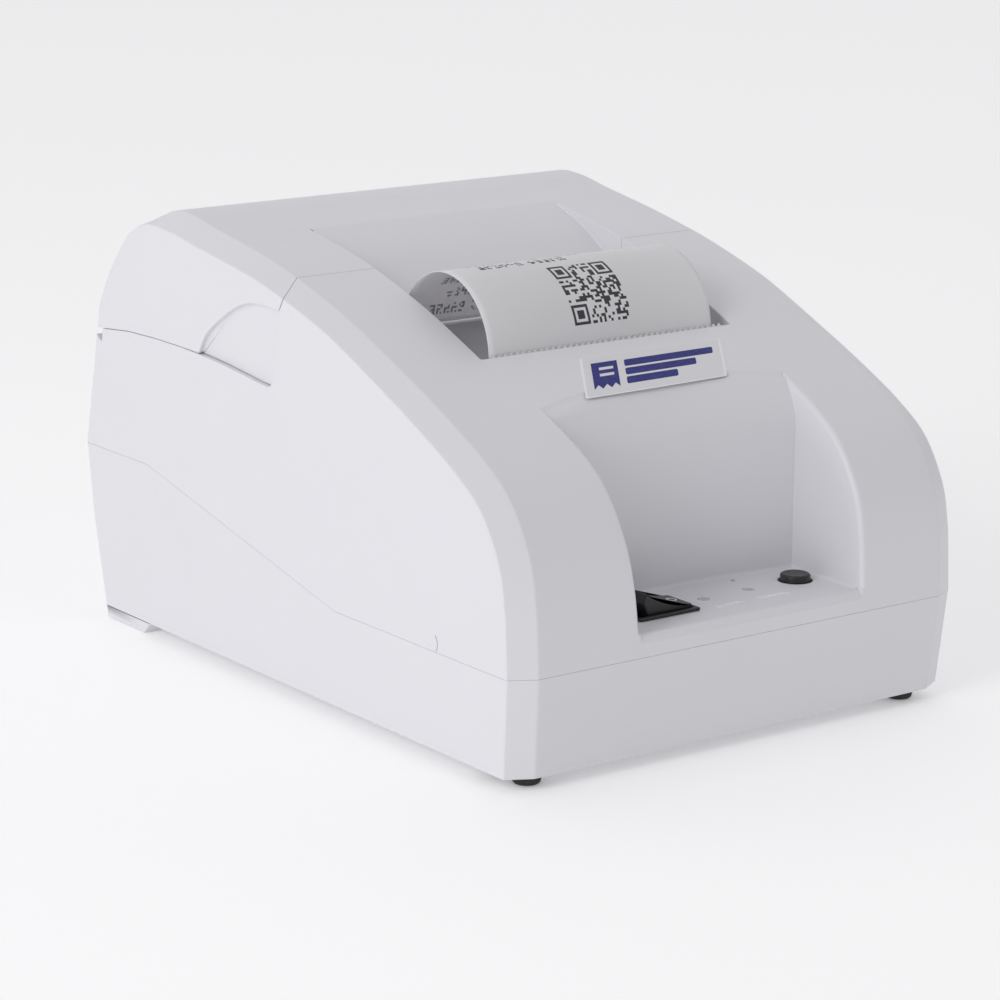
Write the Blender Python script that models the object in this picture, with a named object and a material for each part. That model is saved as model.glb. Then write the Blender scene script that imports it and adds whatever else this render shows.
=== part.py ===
"""Receipt printer, a small thermal desktop one, as an assembly at rest with its cover shut.

Lengths are in millimetres until point() turns them into metres. f is the distance behind the
front face, x is to the right and z is up. The origin is under the middle of the case.
"""

import math

import bmesh
import bpy
from mathutils import Vector

# Case
LENGTH, HALF_WIDTH, WALL = 162.5, 57.0, 2.2
SIDE_BAND = 5.4  # width in x of the slanted band along each side
BAND_DROP = 3.0  # how far that band falls to the side at the front
BAND_FADE = [(0.0, 3.0), (35.0, 2.7), (63.0, 2.2), (81.0, 2.5), (105.0, 3.0), (126.0, 3.4),
             (132.0, 2.7), (138.0, 0.8), (142.0, 0.0), (200.0, 0.0)]  # and further back
GAP = 0.15  # half of a seam
SEAM_LOW, SEAM_HIGH = 23.2, 39.4  # base seam, front and rear
SEAM_RISE = (62.0, 136.0)  # where the seam climbs between them
BOSS_X = 50.8  # the screw bosses stand this far from the middle
CASE_BOSSES = (("front", 14.0, 8.0, 22.4), ("rear", 147.0, 24.0, 39.0))  # f, screw seat, top
FLOOR_UNDER, FLOOR_TOP = 2.6, 4.8
TOP_CURVE = [
    (0.0, SEAM_LOW), (0.3, 29.5), (0.9, 37.2), (3.1, 46.5), (9.3, 56.2), (18.2, 62.6),
    (30.9, 68.9), (42.8, 74.0), (63.4, 82.1), (83.3, 88.1), (96.0, 90.9), (113.0, 93.7),
    (124.0, 95.6), (132.5, 95.2), (141.0, 90.4), (149.2, 81.8), (154.9, 73.0),
    (156.6, 66.4), (LENGTH, SEAM_HIGH),
]
COVER_SEAM = [
    (80.2, 84.9), (81.9, 82.0), (83.0, 77.9), (84.3, 71.4), (84.9, 67.0), (85.4, 65.9),
    (86.6, 65.5), (90.0, 65.7), (94.5, 66.2), (103.3, 67.1), (113.6, 67.8), (122.0, 68.1),
    (132.0, 68.15), (143.0, 67.85), (156.6, 66.5), (175.0, 66.5),
]
HINGE = (154.6, 66.6)

# Receipt slot and the dished deck behind it
SLOT_HALF, LIP = 32.3, 45.8
DECK_CURVE = [
    (LIP, 72.2), (60.0, 72.8), (70.0, 73.6), (77.0, 75.7), (84.0, 80.2), (91.1, 85.2),
    (96.7, 88.5), (103.0, 91.1), (110.0, 93.45), (116.0, 95.5),
]

# Front niche with the buttons
NICHE_BOW, PANEL = 2.8, 27.6
NICHE = [  # height, left wall, right wall, back at the walls
    (27.6, -26.9, 30.2, 22.0), (37.0, -27.5, 30.4, 22.2), (47.0, -28.3, 30.7, 22.5),
    (56.0, -28.6, 30.9, 22.6), (60.0, -28.7, 31.1, 23.1), (64.0, -29.0, 31.3, 24.9),
    (68.0, -29.4, 31.5, 27.5), (74.0, -29.9, 31.8, 32.0),
]
GRIP = [
    (113.9, 66.6), (113.3, 68.4), (112.1, 70.6), (109.5, 73.4), (104.3, 76.9), (99.1, 79.8),
    (94.1, 81.6), (89.1, 82.2), (84.3, 82.1),
]

# Paper: a 57.5 mm wide roll, drawn thicker than real paper
PAPER_X = (-29.9, 27.5)
PAPER_T = 0.24
ROLL, ROLL_R, CORE_R = (112.0, 36.8), 26.0, 6.3
BUCKET, BUCKET_R = (112.0, 39.5), 29.0
BUCKET_X = (-30.9, 28.4)
PAPER_F = 46.45  # the paper's middle where it rises through the slot
CURL, CURL_R = (62.0, 74.6), 15.5

# Print mechanism
PLATEN, PLATEN_R, SHAFT_R = (52.4, 65.0), 5.5, 2.0
IDLER, MOTOR = (49.4, 51.33), (39.0, 45.33)
GEAR_X = (29.4, 31.6)
GEAR_MODULE, PLATEN_TEETH, IDLER_TEETH, PINION_TEETH = 0.5, 20, 36, 12

MATERIALS = {
    "white_shell": ((0.86, 0.86, 0.88), 0.38, 0.0),
    "grey_plastic": ((0.32, 0.33, 0.35), 0.5, 0.0),
    "black_plastic": ((0.02, 0.02, 0.022), 0.35, 0.0),
    "rubber_black": ((0.03, 0.03, 0.03), 0.75, 0.0),
    "steel": ((0.62, 0.62, 0.64), 0.35, 1.0),
    "aluminium": ((0.8, 0.81, 0.82), 0.4, 1.0),
    "ceramic": ((0.75, 0.72, 0.66), 0.4, 0.0),
    "gear_plastic": ((0.85, 0.83, 0.76), 0.45, 0.0),
    "paper": ((0.93, 0.93, 0.92), 0.75, 0.0),
    "card": ((0.5, 0.42, 0.32), 0.85, 0.0),
    "board": ((0.04, 0.25, 0.1), 0.5, 0.0),
    "lens": ((0.75, 0.77, 0.78), 0.25, 0.0),
    "cable": ((0.7, 0.7, 0.7), 0.55, 0.0),
    "label": ((0.9, 0.91, 0.94), 0.45, 0.0),
}


# Helpers


def clear_scene():
    for obj in list(bpy.data.objects):
        bpy.data.objects.remove(obj, do_unlink=True)


def collection(name, hidden=False):
    made = bpy.data.collections.new(name)
    made.hide_render = hidden
    bpy.context.scene.collection.children.link(made)
    return made


def point(x, f, z):
    return Vector((x, f - LENGTH / 2, z)) / 1000


def finish_mesh(name, mesh):
    """A new object from a bmesh, among the parts."""
    bmesh.ops.recalc_face_normals(mesh, faces=mesh.faces)
    data = bpy.data.meshes.new(name)
    mesh.to_mesh(data)
    mesh.free()
    obj = bpy.data.objects.new(name, data)
    PARTS.objects.link(obj)
    return obj


def loft(name, rings):
    """A closed body through rings of points, all with the same number of points."""
    mesh = bmesh.new()
    verts = [[mesh.verts.new(point(*p)) for p in ring] for ring in rings]
    for low, high in zip(verts, verts[1:]):
        for i in range(len(low)):
            j = (i + 1) % len(low)
            mesh.faces.new((low[i], low[j], high[j], high[i]))
    mesh.faces.new(verts[0])
    mesh.faces.new(verts[-1])
    return finish_mesh(name, mesh)


def prism_x(name, outline, x0, x1):
    """An outline of (f, z) points, drawn out along x."""
    return loft(name, [[(x, f, z) for f, z in outline] for x in (x0, x1)])


def prism_y(name, outline, f0, f1):
    """An outline of (x, z) points, drawn out along f."""
    return loft(name, [[(x, f, z) for x, z in outline] for f in (f0, f1)])


def prism_z(name, outline, z0, z1):
    """An outline of (x, f) points, drawn out along z."""
    return loft(name, [[(x, f, z) for x, f in outline] for z in (z0, z1)])


def box(name, x0, x1, f0, f1, z0, z1):
    return prism_z(name, [(x0, f0), (x1, f0), (x1, f1), (x0, f1)], z0, z1)


def circle(centre, radius, count=32, start=0.0):
    turn = [start + 2 * math.pi * i / count for i in range(count)]
    return [(centre[0] + radius * math.cos(a), centre[1] + radius * math.sin(a)) for a in turn]


def rod_x(name, centre, radius, x0, x1, count=32):
    return prism_x(name, circle(centre, radius, count), x0, x1)


def rod_z(name, centre, radius, z0, z1, count=32):
    return prism_z(name, circle(centre, radius, count), z0, z1)


def boolean(obj, tool, operation="DIFFERENCE"):
    """Cuts or joins with tool, which moves to the helpers."""
    modifier = obj.modifiers.new(tool.name, "BOOLEAN")
    modifier.operation = operation
    modifier.solver = "EXACT"
    modifier.object = tool
    if tool.name in PARTS.objects:
        PARTS.objects.unlink(tool)
        HELPERS.objects.link(tool)
    tool.hide_render = True
    tool.display_type = "WIRE"
    return obj


def cut(obj, *tools):
    for tool in tools:
        boolean(obj, tool, "DIFFERENCE")
    return obj


def join(obj, *tools):
    for tool in tools:
        boolean(obj, tool, "UNION")
    return obj


def spline(points, steps=4):
    """A smooth curve through the points."""
    ends = [points[0]] + list(points) + [points[-1]]
    curve = []
    for a, b, c, d in zip(ends, ends[1:], ends[2:], ends[3:]):
        for i in range(steps):
            t = i / steps
            curve.append(tuple(
                0.5 * (2 * q + (r - p) * t + (2 * p - 5 * q + 4 * r - s) * t * t
                       + (3 * q - p - 3 * r + s) * t ** 3)
                for p, q, r, s in zip(a, b, c, d)))
    return curve + [points[-1]]


def offset(curve, distance):
    """The curve moved to its left-hand side, seen along its run, by a number or one each."""
    moved = []
    steps = distance if isinstance(distance, list) else [distance] * len(curve)
    for i, ((f, z), step) in enumerate(zip(curve, steps)):
        a, b = curve[max(i - 1, 0)], curve[min(i + 1, len(curve) - 1)]
        run = math.hypot(b[0] - a[0], b[1] - a[1])
        moved.append((f - step * (b[1] - a[1]) / run, z + step * (b[0] - a[0]) / run))
    return moved


def between(table, at):
    """The table's second number at the first, joined by straight lines."""
    for (a, low), (b, high) in zip(table, table[1:]):
        if at <= b:
            return low + (high - low) * (at - a) / (b - a)
    return table[-1][1]


def paint(obj, name):
    """Gives the object its own material of that kind."""
    colour, rough, metal = MATERIALS[name]
    material = bpy.data.materials.new(name + "_" + obj.name)
    material.use_nodes = True
    shader = material.node_tree.nodes["Principled BSDF"]
    shader.inputs["Base Color"].default_value = (*colour, 1)
    shader.inputs["Roughness"].default_value = rough
    shader.inputs["Metallic"].default_value = metal
    obj.data.materials.clear()
    obj.data.materials.append(material)
    return obj


def set_origin(obj, x, f, z):
    """Moves the object's origin to a joint axis without moving its shape."""
    where = point(x, f, z)
    for vertex in obj.data.vertices:
        vertex.co -= where
    obj.location = where


# Case


def seam_path(shift):
    """The base seam from rear to front, raised by shift."""
    low, high = SEAM_LOW + shift, SEAM_HIGH + shift
    return [(SEAM_RISE[1], high), (SEAM_RISE[0], low)]


def case_body(name, inward, bottom):
    """The case above the base seam, each wall moved inward, its bottom edge moved by bottom."""
    top = spline(TOP_CURVE)

    def outline(drop):
        depth = [-inward - drop * between(BAND_FADE, f) / BAND_DROP for f, _ in top]
        curve = offset(top, depth)
        first, last = (-depth[0], SEAM_LOW + bottom), (LENGTH + depth[-1], SEAM_HIGH + bottom)
        return [first] + curve[1:-1] + [last] + seam_path(bottom)

    rings = []
    for x, drop in ((HALF_WIDTH - inward, BAND_DROP), (HALF_WIDTH - SIDE_BAND, 0.0)):
        rings.append([(x, f, z) for f, z in outline(drop)])
    mirrored = [[(-x, f, z) for x, f, z in ring] for ring in rings]
    return loft(name, [mirrored[0], mirrored[1], rings[1], rings[0]])


def niche(name, grow):
    """The hollow of the front niche, grown by grow on every side."""
    rings = []
    for z, left, right, back in NICHE:
        left, right = left - grow, right + grow
        plan = [(left, -4.0), (right, -4.0)]
        for i in range(13):
            across = 1 - i / 6
            x = (left + right) / 2 + (right - left) / 2 * across
            plan.append((x, back + grow + NICHE_BOW * (1 - across ** 2)))
        rings.append([(x, f, z - (grow if z == PANEL else 0)) for x, f in plan])
    return loft(name, rings)


def slot_hollow(name, grow):
    """The hollow over the slot and deck, grown by grow below and to the sides."""
    deck = offset(spline(DECK_CURVE), -grow) if grow else spline(DECK_CURVE)
    deck = [(LIP - grow, deck[0][1])] + deck[1:]
    outline = deck + [(deck[-1][0], 110.0), (LIP - grow, 110.0)]
    half = SLOT_HALF + grow
    return prism_x(name, outline, -half, half)


def case_shell(name):
    """Upper housing and cover in one, as a shell."""
    inside = case_body(name + "_inside", WALL, -3.0)
    cut(inside, niche(name + "_niche_wall", WALL), slot_hollow(name + "_deck_wall", WALL))
    shell = case_body(name, 0.0, GAP)
    return cut(shell, niche(name + "_niche", 0.0), slot_hollow(name + "_slot", 0.0), inside)


def cover_zone(name, gap):
    """The part of the case that is the cover, pulled back from the seam by gap."""
    seam = [(f + gap, z + gap) for f, z in COVER_SEAM]
    side = [(seam[0][0], 120.0)] + seam + [(175.0, 120.0)]
    zone = prism_x(name, side, -60, 60)
    back = [(60.0, 78.5), (57.0, 80.2), (51.6, 83.3), (30.0, 83.3)]
    plan = [(x, f + gap) for x, f in back]
    plan += [(-x, f) for x, f in reversed(plan)] + [(-60.0, 174.0), (60.0, 174.0)]
    boolean(zone, prism_z(name + "_plan", plan, 50, 119), "INTERSECT")
    return zone


def boss(name, x, f, z0, z1, radius=4.2):
    return rod_z(name, (x, f), radius, z0, z1, 20)


def make_base():
    def outline(half, front, rear, inset):
        band = SIDE_BAND
        half, front, rear = half - inset, front + inset, rear - inset
        return [
            (-half, front + BAND_DROP), (-half + band, front), (half - band, front),
            (half, front + BAND_DROP), (half, rear), (half - band, rear),
            (-half + band, rear), (-half, rear),
        ]

    levels = [
        (FLOOR_UNDER, HALF_WIDTH - 0.85, 2.1, 157.0),
        (SEAM_LOW, HALF_WIDTH, 0.0, 160.1),
        (SEAM_HIGH + 1, HALF_WIDTH, 0.0, LENGTH),
    ]
    base = loft("base_housing", [
        [(x, f, z) for x, f in outline(half, front, rear, 0)] for z, half, front, rear in levels])
    levels[0] = (FLOOR_TOP, *levels[0][1:])
    hollow = loft("base_inside", [
        [(x, f, z) for x, f in outline(half, front, rear, WALL)]
        for z, half, front, rear in levels] + [
        [(x, f, SEAM_HIGH + 9) for x, f in outline(*levels[-1][1:], WALL)]])
    top = [(-6, 60), (-6, SEAM_LOW - GAP)]
    top += [(f, z) for f, z in reversed(seam_path(-GAP))] + [(170, SEAM_HIGH - GAP), (170, 60)]
    cut(base, hollow, prism_x("base_top", top, -60, 60))
    for side in (-1, 1):
        tag = "l" if side < 0 else "r"
        near, far = sorted((side * 42.0, side * 56.1))
        foot = [(140.4, 0.0), (156.6, 0.0), (156.9, 3.0), (137.6, 3.0)]
        join(base, prism_x("base_rear_foot_" + tag, foot, near, far))
        for row, f, head, top in CASE_BOSSES:
            name = "base_boss_" + row + "_" + tag
            join(base, boss(name, side * BOSS_X, f, 3.0, top))
            cut(base, boss(name + "_head", side * BOSS_X, f, -1.0, head, 3.1))
            cut(base, boss(name + "_hole", side * BOSS_X, f, head - 1, top + 1, 1.7))
        for row, f in (("front", 29.0), ("rear", 79.0)):
            name = "base_stud_" + row + "_" + tag
            join(base, boss(name, side * 41.0, f, 4.0, 7.8, 2.6))
            cut(base, boss(name + "_hole", side * 41.0, f, 5.6, 8.4, 1.1))
    for name, x0, x1, z0, z1 in PORTS:
        cut(base, box("base_window_" + name, x0 - 0.4, x1 + 0.4, 150, 166, z0 - 0.4, z1 + 0.4))
    return paint(base, "white_shell")


def make_upper():
    upper = case_shell("upper_housing")
    cut(upper, cover_zone("upper_cover_zone", -GAP))
    cut(upper, box("upper_slot_zone", -SLOT_HALF, SLOT_HALF, LIP, 90, 60, 110))
    cut(upper, rod_x("upper_hinge_way", HINGE, 2.7, -60, 60))
    for side in (-1, 1):
        tag = "l" if side < 0 else "r"

        def at(a, b):
            return sorted((side * a, side * b))

        join(upper, box("upper_cheek_" + tag, *at(SLOT_HALF, 34.4), LIP, 82.6, 58.0, 72.6))
        wall = [(80.0, 58.0), (82.8, 58.0), (83.2, 70.0), (81.6, 79.0), (80.6, 84.7), (79.0, 84.7)]
        join(upper, prism_x("upper_bulkhead_" + tag, wall, *at(34.0, 55.0)))
        join(upper, boss("upper_boss_front_" + tag, side * BOSS_X, 14.0, 23.8, 40.0))
        join(upper, boss("upper_boss_rear_" + tag, side * BOSS_X, 147.0, 39.9, 61.7))
        cut(upper, boss("upper_hole_front_" + tag, side * BOSS_X, 14.0, 20.0, 35.0, 1.6))
        cut(upper, boss("upper_hole_rear_" + tag, side * BOSS_X, 147.0, 39.0, 51.0, 1.6))
        cut(upper, boss("upper_deck_hole_" + tag, side * BOSS_X, 147.0, 54.0, 63.0, 1.4))
        join(upper, boss("upper_peg_" + tag, 13.3 + side * 15.0, 9.0, 18.4, 26.0, 1.6))
    x0, x1, f0, f1 = SWITCH
    cut(upper, box("upper_switch_hole", x0 + 0.5, x1 - 0.5, f0 + 0.5, f1 - 0.5, 20, 30))
    cut(upper, rod_z("upper_button_hole", BUTTON, 3.6, 20, 30))
    for i, where in enumerate(LEDS):
        cut(upper, rod_z("upper_led_hole_%d" % i, where, 1.8, 20, 30))
    cut(upper, rod_z("upper_reset_hole", (14.1, 21.7), 0.6, 20, 30, 16))
    cut(upper, rod_x("upper_pry_notch", (26.4, 23.2), 3.4, -60, -56.2))
    return paint(upper, "white_shell")


def make_cover():
    cover = case_shell("paper_cover")
    zone = cover_zone("cover_zone", GAP)
    tongue = box("cover_tongue", -31.9, 31.9, 49.2, 90.0, 66.0, 110.0)
    join(zone, tongue)
    boolean(cover, zone, "INTERSECT")
    for side in (-1, 1):
        tag = "l" if side < 0 else "r"
        grip = [(80.0, 60.0), (120.0, 60.0)] + spline(GRIP, 3) + [(80.0, 82.1)]
        cut(cover, prism_x("cover_grip_" + tag, grip, *sorted((side * 55.8, side * 60.0))))
        near, far = sorted((side * 38.0, side * 43.4))
        join(cover, rod_x("cover_barrel_" + tag, HINGE, 2.2, near, far, 24))
        near, far = sorted((side * 43.7, side * 49.3))
        cut(cover, rod_x("cover_knuckle_way_" + tag, HINGE, 2.6, near, far, 24))
        near, far = sorted((side * 37.0, side * 44.0))
        cut(cover, rod_x("cover_pin_hole_" + tag, HINGE, 1.3, near, far, 24))
    for tag, x0, x1 in (("roller", -29.1, 26.9), ("gear", 29.1, 31.95)):
        cut(cover, rod_x("cover_way_" + tag, PLATEN, PLATEN_R + 0.5, x0, x1, 24))
    for tag, x0, x1 in (("l", -30.3, -29.2), ("r", 27.0, 27.9)):
        arm = circle(PLATEN, 3.9, 32)
        arm = [p for p in arm if p[1] < PLATEN[1] + 0.5]
        arm.sort(key=lambda p: math.atan2(p[1] - PLATEN[1] - 0.6, p[0] - PLATEN[0]))
        arm = arm + [(70.0, 73.0), (50.5, 71.6)]
        join(cover, prism_x("cover_arm_" + tag, arm, x0, x1))
        cut(cover, rod_x("cover_arm_hole_" + tag, PLATEN, 2.3, x0 - 1, x1 + 1, 24))
    return paint(cover, "white_shell")


def make_bucket():
    bottom = [(BUCKET[0] + BUCKET_R * math.cos(a), BUCKET[1] + BUCKET_R * math.sin(a))
              for a in (-math.radians(140) * i / 20 for i in range(21))]
    ramp = [(57.0, 50.2), (48.4, 58.8)]
    hollow = bottom + ramp + [(40.0, 80.0), (BUCKET[0] + BUCKET_R, 80.0)]
    big = BUCKET_R + WALL
    under = [(BUCKET[0] + big * math.cos(a), BUCKET[1] + big * math.sin(a))
             for a in (-math.radians(140) * i / 20 for i in range(21))]
    front = [(62.0, 42.8), (62.0, 57.6), (87.0, 57.6), (87.0, 64.0)]
    bucket = prism_x("paper_bucket", under + front + [(BUCKET[0] + big, 64.0)],
                     BUCKET_X[0] - WALL, BUCKET_X[1] + WALL)
    join(bucket, box("bucket_deck", -54.3, 54.3, 87.0, 151.8, 62.0, 64.0))
    lip = [(64.0, 41.0), (64.0, 52.0), (47.9, 60.0), (46.9, 58.6), (55.4, 49.0)]
    join(bucket, prism_x("bucket_lip", lip, -30.5, 28.0))
    cut(bucket, prism_x("bucket_hollow", hollow, *BUCKET_X))
    for side in (-1, 1):
        tag = "l" if side < 0 else "r"
        near, far = sorted((side * 44.0, side * 49.0))
        stand = [(149.0, 63.0), (152.8, 63.0), (155.6, 65.0), (154.6, 68.4), (152.6, 67.6)]
        join(bucket, prism_x("bucket_stand_" + tag, stand, near, far))
        join(bucket, rod_x("bucket_knuckle_" + tag, HINGE, 2.2, near - 0.01, far + 0.01, 24))
        cut(bucket, rod_x("bucket_pin_hole_" + tag, HINGE, 1.3, near - 1, far + 1, 24))
        cut(bucket, boss("bucket_screw_hole_" + tag, side * BOSS_X, 147.0, 60.0, 66.0, 1.6))
    return paint(bucket, "grey_plastic")


# Print mechanism


def gear(name, teeth, centre, phase, bore, x0, x1):
    """A spur gear with straight-sided teeth, one tooth's middle at the angle phase."""
    pitch_r = GEAR_MODULE * teeth / 2
    tip, root = pitch_r + 0.85 * GEAR_MODULE, pitch_r - 1.2 * GEAR_MODULE
    step = 2 * math.pi / teeth
    outline = []
    for i in range(teeth):
        for part, radius in ((-0.31, root), (-0.1, tip), (0.1, tip), (0.31, root)):
            a = phase + (i + part) * step
            outline.append((centre[0] + radius * math.cos(a), centre[1] + radius * math.sin(a)))
    made = prism_x(name, outline, x0, x1)
    if bore:
        cut(made, rod_x(name + "_bore", centre, bore, x0 - 1, x1 + 1, 24))
    return made


def mesh_phase(phase, teeth, angle, other_teeth):
    """The phase of a gear that meshes with one at that phase, in the direction angle from it."""
    step = 2 * math.pi / teeth
    ahead = (phase - angle + step / 2) % step - step / 2
    other_step = 2 * math.pi / other_teeth
    return angle + math.pi - ahead * teeth / other_teeth + other_step / 2


def make_gears():
    to_idler = math.atan2(IDLER[1] - PLATEN[1], IDLER[0] - PLATEN[0])
    to_motor = math.atan2(MOTOR[1] - IDLER[1], MOTOR[0] - IDLER[0])
    idler_phase = mesh_phase(to_idler, PLATEN_TEETH, to_idler, IDLER_TEETH)
    pinion_phase = mesh_phase(idler_phase, IDLER_TEETH, to_motor, PINION_TEETH)
    platen = gear("platen_gear", PLATEN_TEETH, PLATEN, to_idler, SHAFT_R + 0.03, *GEAR_X)
    idler = gear("idler_gear", IDLER_TEETH, IDLER, idler_phase, 1.08, *GEAR_X)
    pinion = gear("motor_pinion", PINION_TEETH, MOTOR, pinion_phase, 0, *GEAR_X)
    join(pinion, rod_x("pinion_shaft", MOTOR, 1.0, 26.4, 30.0, 24))
    for obj, centre in ((platen, PLATEN), (idler, IDLER), (pinion, MOTOR)):
        set_origin(obj, 0, *centre)
        paint(obj, "gear_plastic")


def make_platen():
    shaft = rod_x("platen_shaft", PLATEN, SHAFT_R, -31.8, 31.9)
    rubber = rod_x("platen_roller", PLATEN, PLATEN_R, -28.9, 26.7, 48)
    cut(rubber, rod_x("roller_bore", PLATEN, SHAFT_R + 0.03, -40, 40))
    for obj, kind in ((shaft, "steel"), (rubber, "rubber_black")):
        set_origin(obj, 0, *PLATEN)
        paint(obj, kind)
    for tag, x0, x1 in (("l", -31.7, -30.7), ("r", 28.2, 29.2)):
        bush = rod_x("platen_bush_" + tag, PLATEN, 2.6, x0, x1, 24)
        cut(bush, rod_x("bush_bore_" + tag, PLATEN, SHAFT_R + 0.08, x0 - 1, x1 + 1))
        paint(bush, "black_plastic")


def make_mechanism():
    plate = [(31.6, 36.0), (60.5, 36.0), (60.5, 47.0), (61.5, 58.0), (60.0, 66.2), (56.2, 66.2),
             (55.4, 63.0), (53.6, 61.6), (51.2, 61.6), (49.5, 63.0), (49.3, 66.2), (47.3, 66.2),
             (47.3, 62.0), (41.0, 62.0), (36.0, 66.2), (31.6, 66.0)]
    frame = prism_x("mech_frame", plate, 28.3, 29.1)
    join(frame, prism_x("frame_left", plate, -31.6, -30.8))
    join(frame, box("frame_front", -31.2, 28.7, 31.6, 32.6, 57.0, 66.0))
    join(frame, box("frame_bar", -31.2, 28.7, 32.2, 45.6, 55.6, 56.6))
    join(frame, rod_x("frame_stud", IDLER, 1.0, 28.5, 31.9, 24))
    cut(frame, rod_x("frame_shaft_hole", MOTOR, 1.5, 27, 30, 24))
    paint(frame, "steel")

    paint(box("thermal_head", -27.5, 25.0, 45.15, 46.0, 57.8, 69.3), "ceramic")
    sink = box("head_heatsink", -28.5, 26.0, 42.4, 44.95, 57.6, 69.3)
    for i in range(9):
        x = -26.3 + 6.25 * i
        cut(sink, box("sink_groove_%d" % i, x - 1, x + 1, 41, 43.6, 63.6, 71))
    paint(sink, "aluminium")
    for tag, x in (("l", -19.0), ("r", 16.5)):
        paint(spring("head_spring_" + tag, (x, 32.9), 9.1, 60.6), "steel")

    motor = rod_x("stepper_motor", MOTOR, 9.3, 6.0, 27.8, 40)
    cut(motor, rod_x("motor_bore", MOTOR, 1.3, 26.0, 29.0, 24))
    paint(motor, "steel")


def spring(name, start, length, height, radius=2.1, wire=0.32, turns=5):
    """A coil spring lying along f, from start = (x, f)."""
    steps, around = 11 * turns, 5
    rings = []
    for i in range(steps + 1):
        a = 2 * math.pi * turns * i / steps
        along = start[1] + wire + (length - 2 * wire) * i / steps
        ring = []
        for j in range(around):
            b = 2 * math.pi * j / around
            r = radius + wire * math.cos(b)
            ring.append((start[0] + r * math.cos(a), along + wire * math.sin(b),
                         height + r * math.sin(a)))
        rings.append(ring)
    return loft(name, rings)


def make_tear_bar():
    pitch, half = 1.5, 30.0
    teeth = []
    for i in range(int(2 * half / pitch)):
        x = -half + i * pitch
        teeth += [(x, 74.9), (x + pitch / 2, 75.7)]
    outline = teeth + [(half, 74.9), (half, 70.6), (-half, 70.6)]
    return paint(prism_y("tear_bar", outline, 45.86, 46.1), "steel")


# Paper


def ribbon(name, path, thickness, x0, x1):
    left, right = offset(path, thickness / 2), offset(path, -thickness / 2)
    return prism_x(name, left + right[::-1], x0, x1)


def web_path():
    """The paper's run from the roll up the ramp, round the platen and up to the slot."""
    run = (57.0 - 89.8, 50.2 - 20.86)
    size = math.hypot(*run)
    along = (run[0] / size, run[1] / size)
    out = ROLL_R + 0.3
    start = (ROLL[0] - along[1] * out, ROLL[1] + along[0] * out)
    bend = (start[0] + along[0] * 50.0, start[1] + along[1] * 50.0)
    wrap = PLATEN[0] - PAPER_F
    turn = [math.radians(225 - 45 * i / 6) for i in range(7)]
    nip = [(PLATEN[0] + wrap * math.cos(a), PLATEN[1] + wrap * math.sin(a)) for a in turn]
    return [start, bend] + nip + [(PAPER_F, 75.1)]


def curl_path():
    """The printed receipt from the slot over to the deck behind."""
    turn = [math.radians(177 - 170.5 * i / 28) for i in range(29)]
    return [(PAPER_F, 75.35 - 0.1)] + [
        (CURL[0] + CURL_R * math.cos(a), CURL[1] + CURL_R * math.sin(a)) for a in turn]


def make_paper():
    paint(ribbon("paper_web", web_path(), PAPER_T, *PAPER_X), "paper")
    paint(ribbon("receipt", curl_path(), PAPER_T, *PAPER_X), "paper")
    roll = rod_x("paper_roll", ROLL, ROLL_R, *PAPER_X, 72)
    cut(roll, rod_x("roll_bore", ROLL, CORE_R + 0.03, -40, 40, 40))
    core = rod_x("roll_core", ROLL, CORE_R, *PAPER_X, 40)
    cut(core, rod_x("core_bore", ROLL, CORE_R - 1.2, -40, 40, 32))
    for obj, kind in ((roll, "paper"), (core, "card")):
        set_origin(obj, 0, *ROLL)
        paint(obj, kind)


# Panel

SWITCH = (-20.9, -5.8, 7.7, 18.2)
BUTTON = (24.8, 14.6)
LEDS = ((0.2, 14.2), (12.3, 14.6))
ROCKER_TILT = math.radians(18)


def make_panel():
    x0, x1, f0, f1 = SWITCH
    body = box("switch_body", x0, x1, f0, f1, PANEL + 0.05, PANEL + 1.3)
    join(body, box("switch_case", x0 + 0.8, x1 - 0.8, f0 + 0.8, f1 - 0.8, 13.6, 28.0))
    middle_x, middle_f = (x0 + x1) / 2, (f0 + f1) / 2
    cut(body, box("switch_hollow", middle_x - 6.75, middle_x + 6.75,
                  middle_f - 4.15, middle_f + 4.15, 22.6, 33.0))
    paint(body, "black_plastic")

    pivot_z = PANEL + 1.2
    crown = [(-6.2, 2.2), (-3.2, 1.62), (0.0, 1.4), (3.2, 1.62), (6.2, 2.2), (6.2, 0.2),
             (3.0, -4.0), (-3.0, -4.0), (-6.2, 0.2)]
    c, s = math.cos(ROCKER_TILT), math.sin(ROCKER_TILT)
    outline = [(middle_x + x * c + z * s, pivot_z - x * s + z * c) for x, z in crown]
    rocker = prism_y("power_rocker", outline, middle_f - 3.9, middle_f + 3.9)
    set_origin(rocker, middle_x, middle_f, pivot_z)
    paint(rocker, "black_plastic")

    button = rod_z("feed_button", BUTTON, 3.15, 23.0, PANEL + 1.5, 32)
    join(button, rod_z("button_flange", BUTTON, 4.8, 23.2, 24.4, 32))
    paint(button, "black_plastic")

    tact = box("tact_switch", BUTTON[0] - 3, BUTTON[0] + 3, BUTTON[1] - 3, BUTTON[1] + 3,
               18.5, 21.0)
    join(tact, rod_z("tact_plunger", BUTTON, 1.6, 20.5, 21.9, 20))
    paint(tact, "black_plastic")
    for name, where in zip(("power_light", "paper_light"), LEDS):
        paint(rod_z(name, where, 1.5, 18.6, PANEL + 0.1, 28), "lens")
    paint(box("panel_board", -3.6, 31.6, 6.5, 21.5, 16.6, 18.2), "board")


# Electronics

PORTS = (  # name, low x, high x, low z, high z
    ("usb", -29.6, -17.6, 11.9, 22.7),
    ("drawer", -6.4, 7.2, 11.9, 24.3),
    ("power", 17.0, 26.4, 11.9, 22.9),
)
PORT_FACE = 158.0


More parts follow.
